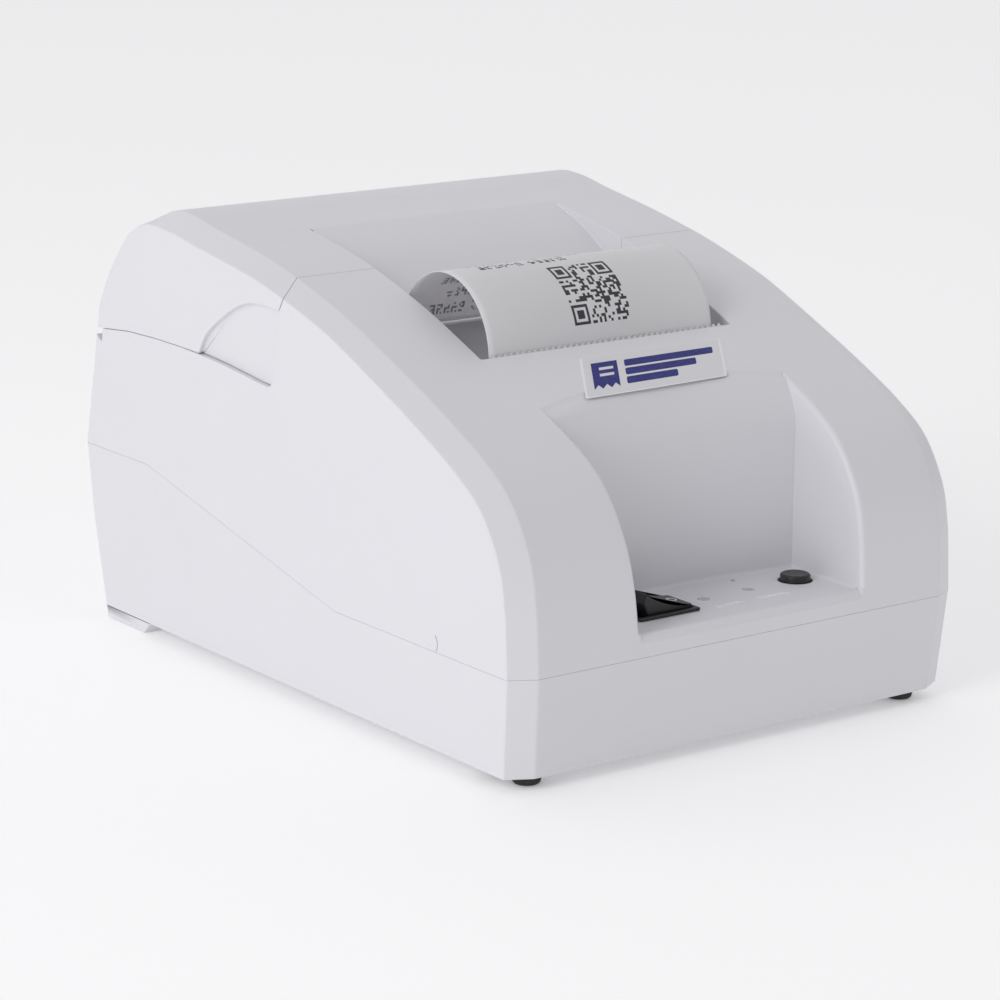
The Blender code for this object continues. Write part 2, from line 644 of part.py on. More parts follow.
def make_electronics():
    board = box("main_board", -45.0, 45.0, 24.0, 84.0, 8.0, 9.6)
    chips = (("driver", -30, -20, 40, 50, 1.4), ("processor", -6, 6, 42, 54, 1.5),
             ("memory", 14, 22, 44, 50, 1.2), ("header", -24, 24, 70, 75, 3.6),
             ("regulator", 28, 35, 34, 44, 2.4))
    for name, x0, x1, f0, f1, high in chips:
        join(board, box("board_" + name, x0, x1, f0, f1, 9.0, 9.6 + high))
    for i, (x, f) in enumerate(((-36, 60), (-27, 61), (33, 60))):
        join(board, rod_z("board_can_%d" % i, (x, f), 3.2, 9.0, 17.0, 20))
    for side in (-1, 1):
        for f in (29.0, 79.0):
            name = "board_hole_%d_%d" % (side, f)
            cut(board, rod_z(name, (side * 41.0, f), 1.4, 7, 11, 16))
    paint(board, "board")
    paint(box("port_board", -36.0, 33.0, 139.5, 155.0, 10.0, 11.6), "board")

    (_, a0, a1, az0, az1), (_, b0, b1, bz0, bz1), (_, c0, c1, cz0, cz1) = PORTS
    usb = box("usb_socket", a0, a1, 142.0, PORT_FACE, az0, az1)
    cut(usb, box("usb_hollow", a0 + 0.8, a1 - 0.8, 144.0, 160.0, az0 + 0.8, az1 - 0.8))
    join(usb, box("usb_tongue", a0 + 3.2, a1 - 3.2, 143.0, PORT_FACE - 1, az0 + 3.6, az1 - 4.0))
    paint(usb, "steel")
    drawer = box("drawer_socket", b0, b1, 141.0, PORT_FACE, bz0, bz1)
    cut(drawer, box("drawer_hollow", b0 + 1.9, b1 - 1.9, 144.0, 160.0, bz0 + 2.4, bz1 - 3.2))
    cut(drawer, box("drawer_key", b0 + 4.6, b1 - 4.6, 144.0, 160.0, bz1 - 4.0, bz1 - 1.6))
    paint(drawer, "black_plastic")
    jack = box("power_socket", c0, c1, 144.0, PORT_FACE, cz0, cz1)
    middle = ((c0 + c1) / 2, (cz0 + cz1) / 2)
    way = loft("jack_hollow", [[(x, f, z) for x, z in circle(middle, 3.2, 28)]
                               for f in (147.0, 160.0)])
    cut(jack, way)
    join(jack, loft("jack_pin", [[(x, f, z) for x, z in circle(middle, 1.0, 16)]
                                 for f in (146.0, PORT_FACE - 1.5)]))
    paint(jack, "black_plastic")
    flat = [(76.5, 13.6), (82.0, 13.7), (86.0, 12.2), (89.0, 8.6), (93.0, 6.3), (128.0, 6.1),
            (133.0, 7.6), (136.5, 11.2), (139.0, 12.5), (140.4, 12.2)]
    paint(ribbon("ribbon_cable", spline(flat, 3), 0.4, -12.0, 12.0), "cable")


# Small parts


def screw(name, where, head_z, tip_z, head_r, shank_r, kind="steel"):
    """A cross-head screw with its head's bearing face at head_z and its tip at tip_z."""
    away = 1 if head_z > tip_z else -1
    x, f = where
    made = rod_z(name, where, shank_r, *sorted((tip_z, head_z + away * 0.2)), 20)
    join(made, rod_z(name + "_head", where, head_r, *sorted((head_z, head_z + away * 1.7)), 28))
    top = head_z + away * 1.7
    for turn, (a, b) in (("a", (1.3, 0.28)), ("b", (0.28, 1.3))):
        low, high = sorted((top - away * 0.9, top + away))
        cut(made, box(name + "_cross_" + turn, x - a, x + a, f - b, f + b, low, high))
    return paint(made, kind)


def make_small_parts():
    for side in (-1, 1):
        tag = "l" if side < 0 else "r"
        near, far = sorted((side * 38.4, side * 48.6))
        pin = rod_x("hinge_pin_" + tag, HINGE, 1.2, near, far, 24)
        paint(pin, "steel")
        for row, f, seat, _ in CASE_BOSSES:
            name = "case_screw_" + row + "_" + tag
            screw(name, (side * BOSS_X, f), seat - 0.1, seat + 25.0, 2.7, 1.25)
        screw("bucket_screw_" + tag, (side * BOSS_X, 147.0), 64.1, 55.5, 2.6, 1.1)
        for row, f in (("front", 29.0), ("rear", 79.0)):
            screw("board_screw_" + row + "_" + tag, (side * 41.0, f), 9.7, 6.0, 2.2, 0.85)
        paint(rod_z("foot_" + tag, (side * 48.4, 8.0), 2.9, 0.0, 2.4), "rubber_black")


def make_labels():
    top = [p for p in spline(TOP_CURVE) if 24 < p[0] < 47]
    band = offset(top, 0.05) + offset(top, 0.25)[::-1]
    label = prism_x("front_label", band, -24, 32)
    plan = [(-18.4, 29.5), (18.4, 29.9), (25.8, 41.4), (-11.0, 41.4)]
    boolean(label, prism_z("label_outline", plan, 50, 90), "INTERSECT")
    paint(label, "label")
    paint(box("rating_label", -26.0, 26.0, 62.0, 96.0, 2.35, 2.55), "label")


def build():
    make_base()
    make_upper()
    make_cover()
    make_bucket()
    make_gears()
    make_platen()
    make_mechanism()
    make_tear_bar()
    make_paper()
    make_panel()
    make_electronics()
    make_small_parts()
    make_labels()


clear_scene()
PARTS = collection("receipt_printer")
HELPERS = collection("helpers", hidden=True)
build()
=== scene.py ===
"""Looks of the receipt printer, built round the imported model. Lengths are in millimetres until
point() turns them into metres; f is the distance behind the front face, x is to the right."""

import random
from math import atan2, cos, hypot, pi, radians, sin, sqrt

import bmesh
import bpy
from mathutils import Matrix, Vector


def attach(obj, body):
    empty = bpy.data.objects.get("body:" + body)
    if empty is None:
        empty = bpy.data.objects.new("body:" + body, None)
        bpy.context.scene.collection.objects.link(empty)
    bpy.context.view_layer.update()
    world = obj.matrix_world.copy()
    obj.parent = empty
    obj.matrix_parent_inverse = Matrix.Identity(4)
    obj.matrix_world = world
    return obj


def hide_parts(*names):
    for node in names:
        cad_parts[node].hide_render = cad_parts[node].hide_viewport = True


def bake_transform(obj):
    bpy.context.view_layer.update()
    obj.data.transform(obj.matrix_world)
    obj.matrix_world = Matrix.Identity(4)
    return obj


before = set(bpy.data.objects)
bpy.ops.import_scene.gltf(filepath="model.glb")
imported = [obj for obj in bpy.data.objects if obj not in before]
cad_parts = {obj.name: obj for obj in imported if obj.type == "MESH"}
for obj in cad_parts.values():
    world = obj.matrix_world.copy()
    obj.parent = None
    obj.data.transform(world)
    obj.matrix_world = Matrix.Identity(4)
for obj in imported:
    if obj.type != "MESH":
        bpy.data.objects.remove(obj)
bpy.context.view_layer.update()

# The case, as in the CAD
LENGTH, HALF_WIDTH, WALL = 162.5, 57, 2.2
SIDE_BAND, BAND_DROP, GAP, SEAM_GAP = 5.4, 3, 0.06, 0.02
BAND_FADE = [(0, 3), (35, 2.7), (63, 2.2), (81, 2.5), (105, 3), (126, 3.4),
             (132, 2.7), (138, 0.8), (142, 0), (200, 0)]
SEAM_LOW, SEAM_HIGH, SEAM_RISE = 23.2, 39.4, (62, 136)
FLOOR_UNDER, FLOOR_TOP = 2.6, 4.8
BOSS_X = 50.8
CASE_BOSSES = ((14, 8, 22.4), (147, 24, 39))  # f, top of the screw's well, top
TOP_CURVE = [(0, SEAM_LOW), (0.3, 29.5), (0.9, 37.2), (3.1, 46.5), (9.3, 56.2), (18.2, 62.6),
    (30.9, 68.9), (42.8, 74), (63.4, 82.1), (83.3, 88.1), (96, 90.9), (113, 93.7),
    (124, 95.6), (132.5, 95.2), (141, 90.4), (149.2, 81.8), (154.9, 73),
    (156.6, 66.4), (LENGTH, SEAM_HIGH),]
COVER_SEAM = [(80.2, 84.9), (81.9, 82), (83, 77.9), (84.3, 71.4), (84.9, 67), (85.4, 65.9),
    (86.6, 65.5), (90, 65.7), (94.5, 66.2), (103.3, 67.1), (113.6, 67.8), (122, 68.1),
    (132, 68.15), (143, 67.85), (156.6, 66.5), (175, 66.5),]
GRIP = [(113.9, 66.6), (113.3, 68.4), (112.1, 70.6), (109.5, 73.4), (104.3, 76.9), (99.1, 79.8),
    (94.1, 81.6), (89.1, 82.2), (84.3, 82.1),]
HINGE, HEEL_R = (154.6, 66.6), 2.75  # the axis, and the room that the upper leaves round it
NOTCH = (28, 24.85)  # centre of the crescent over the base seam
SLOT_HALF, LIP = 32.3, 45.8
DECK_CURVE = [(LIP, 72.2), (60, 72.8), (70, 73.6), (77, 75.7), (84, 80.2), (91.1, 85.2),
    (96.7, 88.5), (103, 91.1), (110, 93.45), (116, 95.5),]
NICHE_BOW, PANEL = 2.8, 27.6
NICHE_EDGE, NICHE_FLOOR = 1.05, 0.9  # radii of its edges
NICHE = [  # height, left wall, right wall, back at the walls
    (27.6, -26.9, 30.2, 22), (37, -27.5, 30.4, 22.2), (47, -28.3, 30.7, 22.5),
    (56, -28.6, 30.9, 22.6), (60, -28.7, 31.1, 23.1), (64, -29, 31.3, 24.9),
    (68, -29.4, 31.5, 27.5), (74, -29.9, 31.8, 32),]
PAPER_X = (-29.9, 27.5)
PLATEN, PLATEN_R = (52.4, 65), 5.5
ROLL, ROLL_R, CORE_R = (112, 36.8), 26, 6.3
PAPER_F = 46.45
CURL, CURL_R = (62, 74.6), 15.5
SWITCH = (-20.9, -5.8, 7.7, 18.2)
BUTTON = (24.8, 14.6)
LEDS = ((0.2, 14.2), (12.3, 14.6))
ROCKER_TILT = radians(18)
PORTS = (  # data, cash drawer and power: x limits, z limits
    (-29.6, -17.6, 11.9, 22.7), (-6.4, 7.2, 11.9, 24.3), (17, 26.4, 11.9, 22.9))
PORT_FACE = 158
LINE, DASH = 0.22, 0.35  # widths of the panel's printed lines and dashes
WELD = 0.01 / 1000  # points nearer than this, in metres, are one after a Boolean
CAD_SHARP = 30  # edges sharper than this are rounded on a kept CAD node

# The material that a new piece is painted with, for each kind of finish
PAINTS = {}


# Geometry helpers


def point(x, f, z):
    return Vector((x, f - LENGTH / 2, z)) / 1000


def new_object(name, mesh, outward=True):
    if outward:
        bmesh.ops.recalc_face_normals(mesh, faces=mesh.faces)
    data = bpy.data.meshes.new(name)
    mesh.to_mesh(data)
    mesh.free()
    obj = bpy.data.objects.new(name, data)
    bpy.context.scene.collection.objects.link(obj)
    return obj


def loft(name, rings, caps=True):
    mesh = bmesh.new()
    verts = [[mesh.verts.new(point(*p)) for p in ring] for ring in rings]
    for low, high in zip(verts, verts[1:]):
        for i in range(len(low)):
            j = (i + 1) % len(low)
            mesh.faces.new((low[i], low[j], high[j], high[i]))
    if caps:
        mesh.faces.new(verts[0])
        mesh.faces.new(verts[-1])
    return new_object(name, mesh)


def prism_x(name, outline, x0, x1):
    return loft(name, [[(x, f, z) for f, z in outline] for x in (x0, x1)])


def prism_y(name, outline, f0, f1):
    return loft(name, [[(x, f, z) for x, z in outline] for f in (f0, f1)])


def prism_z(name, outline, z0, z1):
    return loft(name, [[(x, f, z) for x, f in outline] for z in (z0, z1)])


def box(name, x0, x1, f0, f1, z0, z1):
    return prism_z(name, [(x0, f0), (x1, f0), (x1, f1), (x0, f1)], z0, z1)


def arc(centre, radius, angles):
    return [(centre[0] + radius * cos(a), centre[1] + radius * sin(a)) for a in angles]


def quarter(steps):
    """The angles of a quarter turn, from 0."""
    return [pi / 2 * i / steps for i in range(steps + 1)]


def circle(centre, radius, count=48):
    return arc(centre, radius, [2 * pi * i / count for i in range(count)])


def rod_x(name, centre, radius, x0, x1):
    return prism_x(name, circle(centre, radius, 64), x0, x1)


def rod_y(name, centre, radius, f0, f1, count=48):
    return prism_y(name, circle(centre, radius, count), f0, f1)


def rod_z(name, centre, radius, z0, z1, count=48):
    return prism_z(name, circle(centre, radius, count), z0, z1)


def spline(points, steps):
    ends = [points[0]] + list(points) + [points[-1]]
    curve = []
    for a, b, c, d in zip(ends, ends[1:], ends[2:], ends[3:]):
        for i in range(steps):
            t = i / steps
            curve.append(tuple(0.5 * (2 * q + (r - p) * t + (2 * p - 5 * q + 4 * r - s) * t * t
                       + (3 * q - p - 3 * r + s) * t ** 3) for p, q, r, s in zip(a, b, c, d)))
    return curve + [points[-1]]


def offset(curve, distance):
    moved = []
    steps = distance if isinstance(distance, list) else [distance] * len(curve)
    for i, ((f, z), step) in enumerate(zip(curve, steps)):
        a, b = curve[max(i - 1, 0)], curve[min(i + 1, len(curve) - 1)]
        run = hypot(b[0] - a[0], b[1] - a[1])
        moved.append((f - step * (b[1] - a[1]) / run, z + step * (b[0] - a[0]) / run))
    return moved


def between(table, at):
    for (a, low), (b, high) in zip(table, table[1:]):
        if at <= b:
            return low + (high - low) * (at - a) / (b - a)
    return table[-1][1]


def smooth(obj):
    for polygon in obj.data.polygons:
        polygon.use_smooth = True
    return obj


def applied(obj):
    """Makes the object's modifiers part of its mesh."""
    graph = bpy.context.evaluated_depsgraph_get()
    made = bpy.data.meshes.new_from_object(obj.evaluated_get(graph))
    obj.modifiers.clear()
    old, obj.data = obj.data, made
    bpy.data.meshes.remove(old)
    return obj


def combine(obj, *steps):
    """Applies (operation, tool) Booleans in turn and removes the tools."""
    for operation, tool in steps:
        modifier = obj.modifiers.new("cut", "BOOLEAN")
        modifier.operation, modifier.solver, modifier.object = operation, "EXACT", tool
    applied(obj)
    for _, tool in steps:
        bpy.data.objects.remove(tool, do_unlink=True)
    return obj


def cut(obj, *tools):
    return combine(obj, *(("DIFFERENCE", tool) for tool in tools))


def join(obj, *tools):
    return combine(obj, *(("UNION", tool) for tool in tools))


def soften(obj, radius, spots=(), angle=22):
    """Rounds the sharp edges: a spot is (test of an edge's middle in millimetres, its radius)."""
    mesh = bmesh.new()
    mesh.from_mesh(obj.data)
    bmesh.ops.remove_doubles(mesh, verts=mesh.verts, dist=WELD)
    bmesh.ops.dissolve_degenerate(mesh, edges=mesh.edges, dist=WELD)
    weight = mesh.edges.layers.float.new("bevel_weight_edge")
    most = max([radius] + [size for _, size in spots])
    for edge in mesh.edges:
        if len(edge.link_faces) != 2 or edge.calc_face_angle(0) < radians(angle):
            continue
        middle = (edge.verts[0].co + edge.verts[1].co) * 500
        here = (middle.x, middle.y + LENGTH / 2, middle.z)
        sizes = [size for test, size in spots if test(*here)]
        size = sizes[0] if sizes else radius
        edge[weight] = size / most
        if not size and edge.calc_face_angle(0) > radians(35):
            edge.smooth = False
    mesh.to_mesh(obj.data)
    mesh.free()
    bevel = smooth(obj).modifiers.new("rounding", "BEVEL")
    bevel.width, bevel.segments, bevel.limit_method = most / 1000, 3, "WEIGHT"
    bevel.miter_outer = "MITER_ARC"
    bevel.use_clamp_overlap = False
    normals = obj.modifiers.new("normals", "WEIGHTED_NORMAL")
    normals.keep_sharp, normals.weight = True, 60
    return obj


# Case


def seam_path(shift):
    return [(SEAM_RISE[1], SEAM_HIGH + shift), (SEAM_RISE[0], SEAM_LOW + shift)]


def case_body(name, inward, bottom):
    top = spline(TOP_CURVE, 8)

    def outline(drop):
        depth = [-inward - drop * between(BAND_FADE, f) / BAND_DROP for f, _ in top]
        curve = offset(top, depth)
        first, last = (-depth[0], SEAM_LOW + bottom), (LENGTH + depth[-1], SEAM_HIGH + bottom)
        return [first] + curve[1:-1] + [last] + seam_path(bottom)

    rings = []
    for x, drop in ((HALF_WIDTH - inward, BAND_DROP), (HALF_WIDTH - SIDE_BAND, 0)):
        rings.append([(x, f, z) for f, z in outline(drop)])
    mirrored = [[(-x, f, z) for x, f, z in ring] for ring in rings]
    return loft(name, [mirrored[0], mirrored[1], rings[1], rings[0]])


def seam_height(f):
    return between([(-20, SEAM_LOW), (SEAM_RISE[0], SEAM_LOW), (SEAM_RISE[1], SEAM_HIGH),
                    (200, SEAM_HIGH)], f)


def case_front(z):
    """Where the outside of the case is at a height, and how much its normal faces forward."""
    curve = [(z, f) for f, z in spline(TOP_CURVE, 8) if f < 124]
    run = (between(curve, z + 0.5) - between(curve, z - 0.5))
    return between(curve, z), 1 / hypot(1, run)


def flare(depth, radius):
    """How far a wall turns outward at a depth under the surface that it meets."""
    if depth >= radius:
        return 0
    if depth < 0:
        return radius - depth * 0.6
    return radius - sqrt(radius ** 2 - (radius - depth) ** 2)


def niche(name, grow):
    """The recess in the front; at grow 0 its edges are rounded where it meets the case."""
    shape = spline(NICHE, 6)
    sizes = [[(row[0], row[k]) for row in shape] for k in (1, 2, 3)]
    if grow:
        levels = [(PANEL - grow, 0)] + [(PANEL + 1 + i, 0) for i in range(46)]
    else:
        levels = [(PANEL + NICHE_FLOOR * (1 - cos(a)), NICHE_FLOOR * (1 - sin(a)))
                  for a in quarter(6)]
        levels += [(30 + 1.5 * i, 0) for i in range(24)]
        levels += [(66 + 0.25 * i, 0) for i in range(26)] + [(73.9, 0)]
    depths = [NICHE_EDGE * (1 - cos(a)) for a in quarter(6)]
    rings = []
    for z, inset in levels:
        left, right, back = [between(table, max(z, PANEL)) for table in sizes]
        left, right, back = left - grow + inset, right + grow - inset, back + grow - inset
        face, ahead = case_front(z)
        ease = 0 if grow else 1
        corner = ease * flare((back - face) * ahead, NICHE_EDGE)
        wall = [(-4, ease * (NICHE_EDGE + 1.5))]
        for i, depth in enumerate([-0.5] + depths):
            f = min(face + depth / ahead, back + corner - 0.05 * (9 - i))
            wall.append((f, ease * flare((f - face) * ahead, NICHE_EDGE)))
        plan = [(right + out, f) for f, out in wall]
        for i in range(33):
            across = 1 - i / 16
            bow = back + NICHE_BOW * (1 - across ** 2)
            out = ease * flare((bow - face) * ahead, NICHE_EDGE)
            x = (left + right) / 2 + ((right - left) / 2 + corner) * across
            plan.append((x, bow + out))
        plan += [(left - out, f) for f, out in reversed(wall)]
        rings.append([(x, f, z) for x, f in plan])
    return loft(name, rings)


def slot_hollow(name, grow):
    deck = spline(DECK_CURVE, 6)
    deck = offset(deck, -grow) if grow else deck
    deck = [(LIP - grow, deck[0][1])] + deck[1:]
    outline = deck + [(deck[-1][0], 110), (LIP - grow, 110)]
    half = SLOT_HALF + grow
    return prism_x(name, outline, -half, half)


def case_shell(name):
    inside = cut(case_body(name + "_inside", WALL, -3),
                 niche("niche_wall", WALL), slot_hollow("deck_wall", WALL))
    return cut(case_body(name, 0, SEAM_GAP), niche("niche", 0), slot_hollow("slot", 0), inside)


def cover_zone(name, gap):
    seam = [(f + gap, z + gap) for f, z in COVER_SEAM]
    zone = prism_x(name, [(seam[0][0], 120)] + seam + [(175, 120)], -60, 60)
    back = [(60, 78.5), (57, 80.2), (51.6, 83.3), (30, 83.3)]
    plan = [(x, f + gap) for x, f in back]
    plan += [(-x, f) for x, f in reversed(plan)] + [(-60, 174), (60, 174)]
    return combine(zone, ("INTERSECT", prism_z("plan", plan, 50, 119)))


def boss(x, f, z0, z1, radius=4.2):
    return rod_z("boss", (x, f), radius, z0, z1, 32)


def sides():
    """Each side's sign, and a call that puts two x limits on that side."""
    for side in (-1, 1):
        yield side, lambda a, b, s=side: sorted((s * a, s * b))


def make_base():
    def outline(half, front, rear, inset):
        band, half, front, rear = SIDE_BAND, half - inset, front + inset, rear - inset
        return [(-half, front + BAND_DROP), (-half + band, front), (half - band, front),
            (half, front + BAND_DROP), (half, rear), (half - band, rear),
            (-half + band, rear), (-half, rear),]

    levels = [(FLOOR_UNDER, HALF_WIDTH - 0.85, 2.1, 157), (SEAM_LOW, HALF_WIDTH, 0, 160.1),
              (SEAM_HIGH + 1, HALF_WIDTH, 0, LENGTH)]
    base = loft("base_shell", [
        [(x, f, z) for x, f in outline(half, front, rear, 0)] for z, half, front, rear in levels])
    levels[0] = (FLOOR_TOP, *levels[0][1:])
    hollow = loft("hollow", [[(x, f, z) for x, f in outline(half, front, rear, WALL)]
        for z, half, front, rear in levels] + [
        [(x, f, SEAM_HIGH + 9) for x, f in outline(*levels[-1][1:], WALL)]])
    top = [(-6, 60), (-6, SEAM_LOW - SEAM_GAP)]
    top += [(f, z) for f, z in reversed(seam_path(-SEAM_GAP))]
    top += [(170, SEAM_HIGH - SEAM_GAP), (170, 60)]
    cut(base, hollow, prism_x("top", top, -60, 60))
    for side, at in sides():
        foot = [(140.4, 0), (156.6, 0), (156.9, 3), (137.6, 3)]
        join(base, prism_x("foot", foot, *at(42, 56.14)))
        for f, head, high in CASE_BOSSES:
            x = side * BOSS_X
            join(base, boss(x, f, 3, high))
            cut(base, boss(x, f, -1, head, 3.1), boss(x, f, head - 1, high + 1, 1.7))
        for f in (29, 79):
            join(base, boss(side * 41, f, 4, 7.8, 2.6))
            cut(base, boss(side * 41, f, 5.6, 8.4, 1.1))
    for x0, x1, z0, z1 in PORTS:
        cut(base, box("window", x0 - 0.4, x1 + 0.4, 150, 166, z0 - 0.4, z1 + 0.4))
    return soften(base, 0.35, [(lambda x, f, z: z > seam_height(f) - 0.4, 0.06),
        (lambda x, f, z: abs(x) > 41 and f > 136 and 2 < z < 3.6, 0)])


def make_upper():
    upper = cut(case_shell("upper_shell"), cover_zone("zone", -GAP),
                box("slot_zone", -SLOT_HALF, SLOT_HALF, LIP, 90, 60, 110),
                rod_x("hinge_way", HINGE, 2.7, -54.6, 54.6))
    heel = [(HINGE[0] - 0.2, HINGE[1] + 0.4)]
    heel += arc(HINGE, HEEL_R, [-a for a in quarter(8)])
    turn = [radians(130 + 88 * i / 12) for i in range(13)]
    notch = arc(NOTCH, 2.4, turn) + arc(NOTCH, 2.1, turn[::-1])
    edge, _ = case_front(PANEL)
    brow = [(edge - 3, PANEL - 1.5), (edge - 3, PANEL + 1), (edge + 1.5, PANEL + 1)]
    brow += [(edge + 1.5 - 1.5 * sin(a), PANEL - 1.5 + 1.5 * cos(a)) for a in quarter(8)]
    cut(upper, prism_x("brow", brow, NICHE[0][1] - 0.02, NICHE[0][2] + 0.02))
    for side, at in sides():
        wall = [(80, 58), (82.8, 58), (83.2, 70), (81.6, 79), (80.6, 84.7), (79, 84.7)]
        x = side * BOSS_X
        join(upper, box("cheek", *at(SLOT_HALF, 34.4), LIP, 82.6, 58, 72.6),
             prism_x("bulkhead", wall, *at(34, 55)), boss(x, 14, 23.8, 40),
             boss(x, 147, 39.9, 61.7), boss(13.3 + side * 15, 9, 18.4, 26, 1.6))
        cut(upper, boss(x, 14, 20, 35, 1.6), boss(x, 147, 39, 51, 1.6), boss(x, 147, 54, 63, 1.4))
    x0, x1, f0, f1 = SWITCH
    cut(upper, box("switch_hole", x0 + 0.5, x1 - 0.5, f0 + 0.5, f1 - 0.5, 20, 30),
        rod_z("button_hole", BUTTON, 3.6, 20, 30), rod_z("reset_hole", (14.1, 21.7), 0.6, 20, 30),
        prism_x("pry_notch", notch, -60, -56.75))
    for side, at in sides():
        cut(upper, prism_x("heel", heel, *at(54, 60)))
    for where in LEDS:
        cut(upper, rod_z("led_hole", where, 1.3, 20, 30, 32))
    def in_niche(x, f, z):
        return abs(x - 0.4) < 33 and z > PANEL - 1.6 and f < 31 and (z < 62 or f > 15)

    return soften(upper, 0.3, [
        (lambda x, f, z: abs(z - PANEL) < 0.05 and abs(x) < 28.5 and 3 < f < 20, 0.12),
        (in_niche, 0), (lambda x, f, z: x < -56 and 24 < f < 28 and 23 < z < 28, 0),
        (lambda x, f, z: z < seam_height(f) + 0.4, 0.06),
        (lambda x, f, z: abs(x) > 55 and 81 < f < 85.2 and 66.5 < z < 84, 0.3),
        (lambda x, f, z: f > 79 and z > 60 and abs(x) > 31, 0.12)])


def make_cover():
    cover = case_shell("cover_shell")
    zone = join(cover_zone("zone", GAP), box("tongue", -31.9, 31.9, 49.2, 90, 66, 110))
    combine(cover, ("INTERSECT", zone))
    for side, at in sides():
        grip = [(80, 60), (120, 60)] + spline(GRIP, 5) + [(80, 82.1)]
        cut(cover, prism_x("grip", grip, *at(55.8, 60)))
        join(cover, rod_x("barrel", HINGE, 2.2, *at(38, 43.4)))
        cut(cover, rod_x("knuckle_way", HINGE, 2.6, *at(43.7, 49.3)),
            rod_x("pin_hole", HINGE, 1.3, *at(37, 44)))
    for x0, x1 in ((-29.1, 26.9), (29.1, 31.95)):
        cut(cover, rod_x("platen_way", PLATEN, PLATEN_R + 0.5, x0, x1))
    for x0, x1 in ((-30.3, -29.2), (27, 27.9)):
        arm = [p for p in circle(PLATEN, 3.9) if p[1] < PLATEN[1] + 0.5]
        arm.sort(key=lambda p: atan2(p[1] - PLATEN[1] - 0.6, p[0] - PLATEN[0]))
        join(cover, prism_x("arm", arm + [(70, 73), (50.5, 71.6)], x0, x1))
        cut(cover, rod_x("arm_hole", PLATEN, 2.3, x0 - 1, x1 + 1))
    return soften(cover, 0.25, [
        (lambda x, f, z: abs(x) > 55.6 and 85.2 < f < 116 and z > 67.2, 0.25),
        (lambda x, f, z: f < 86 or z < 68.6, 0.12)])


# Materials


def add_node(tree, kind, *inputs, **settings):
    """A node; each input is (its name or number, a value or the socket that it is linked to)."""
    made = tree.nodes.new(kind)
    for key, value in settings.items():
        setattr(made, key, value)
    for key, value in inputs:
        if isinstance(value, bpy.types.NodeSocket):
            tree.links.new(value, made.inputs[key])
        else:
            made.inputs[key].default_value = value
    return made


class Shader:
    """A Principled material and short calls for the nodes that drive it."""

    def __init__(self, name, colour, rough, metal=0, **sockets):
        self.material = bpy.data.materials.new(name)
        self.material.use_nodes = True
        self.tree = self.material.node_tree
        self.shader = self.tree.nodes["Principled BSDF"]
        self.colour, self.rough = colour, rough
        sockets = {"Base Color": (*colour, 1), "Roughness": rough, "Metallic": metal, **sockets}
        for key, value in sockets.items():
            self.shader.inputs[key.replace("_", " ")].default_value = value
        self.where = self.node("ShaderNodeTexCoord", "Object")

    def node(self, kind, output, *inputs, **settings):
        return add_node(self.tree, kind, *inputs, **settings).outputs[output]

    def drive(self, socket, value):
        self.tree.links.new(value, self.shader.inputs[socket])

    def placed(self, stretch):
        """The object's coordinates, stretched per axis."""
        return self.node("ShaderNodeMapping", "Vector", ("Scale", stretch), ("Vector", self.where))

    def noise(self, size, detail=3, stretch=None):
        """Noise with features of about size metres."""
        where = self.placed(stretch) if stretch else self.where
        return self.node("ShaderNodeTexNoise", "Fac", ("Scale", 1 / size), ("Detail", detail),
                         ("Vector", where))

    def math(self, kind, a, b=0):
        return self.node("ShaderNodeMath", 0, (0, a), (1, b), operation=kind)

    def spread(self, value, low, high, start=0, end=1):
        return self.node("ShaderNodeMapRange", "Result", ("From Min", start), ("From Max", end),
                         ("To Min", low), ("To Max", high), ("Value", value))

    def blend(self, value, first, second):
        """A colour between first and second, each a colour or a socket."""
        ends = [(i, (*c, 1) if isinstance(c, tuple) else c) for i, c in ((6, first), (7, second))]
        return self.node("ShaderNodeMix", 2, ("Factor", value), *ends, data_type="RGBA")

    def axis(self, name):
        return self.node("ShaderNodeSeparateXYZ", name, (0, self.where))

    def tint(self, value, amount):
        """Varies the base colour by a share of itself."""
        low = tuple(c * (1 - amount) for c in self.colour)
        high = tuple(min(1, c * (1 + amount)) for c in self.colour)
        self.drive("Base Color", self.blend(value, low, high))

    def gloss(self, value, amount):
        low, high = max(0.02, self.rough - amount), min(1, self.rough + amount)
        self.drive("Roughness", self.spread(value, low, high, 0.3, 0.7))

    def bump(self, height, strength, depth=0.0001):
        self.drive("Normal", self.node("ShaderNodeBump", "Normal", ("Strength", strength),
                                       ("Distance", depth), ("Height", height)))


def moulded(name, colour, rough, grain=0.00022, strength=0.12, mottle=0.012, **sockets):
    """Moulded plastic: spark-eroded grain, with flow marks in its gloss and shade."""
    made = Shader(name, colour, rough, **sockets)
    made.tint(made.noise(0.03, 4), mottle)
    made.gloss(made.noise(0.012, 5), 0.05)
    made.bump(made.math("ADD", made.noise(grain, 2),
                        made.math("MULTIPLY", made.noise(0.006, 3), 0.6)), strength)
    return made.material


def metal(name, colour, rough, stretch, strength=0.12, **sockets):
    """Metal drawn or ground along the axis with the smallest stretch."""
    made = Shader(name, colour, rough, 1, **sockets)
    lines = made.noise(0.0012, 4, stretch)
    made.tint(made.noise(0.01, 4), 0.06)
    made.gloss(lines, 0.09)
    made.bump(lines, strength, 0.00004)
    return made.material


def thermal_paper(name, colour, rough, **sockets):
    """Smooth coated paper with faint fibres and cloudy formation."""
    made = Shader(name, colour, rough, **sockets)
    made.tint(made.noise(0.0045, 5), 0.012)
    fibres = made.noise(0.0003, 3, (0.35, 1, 1))
    made.gloss(fibres, 0.06)
    made.bump(made.math("ADD", fibres, made.noise(0.006, 2)), 0.1, 0.00003)
    return made.material


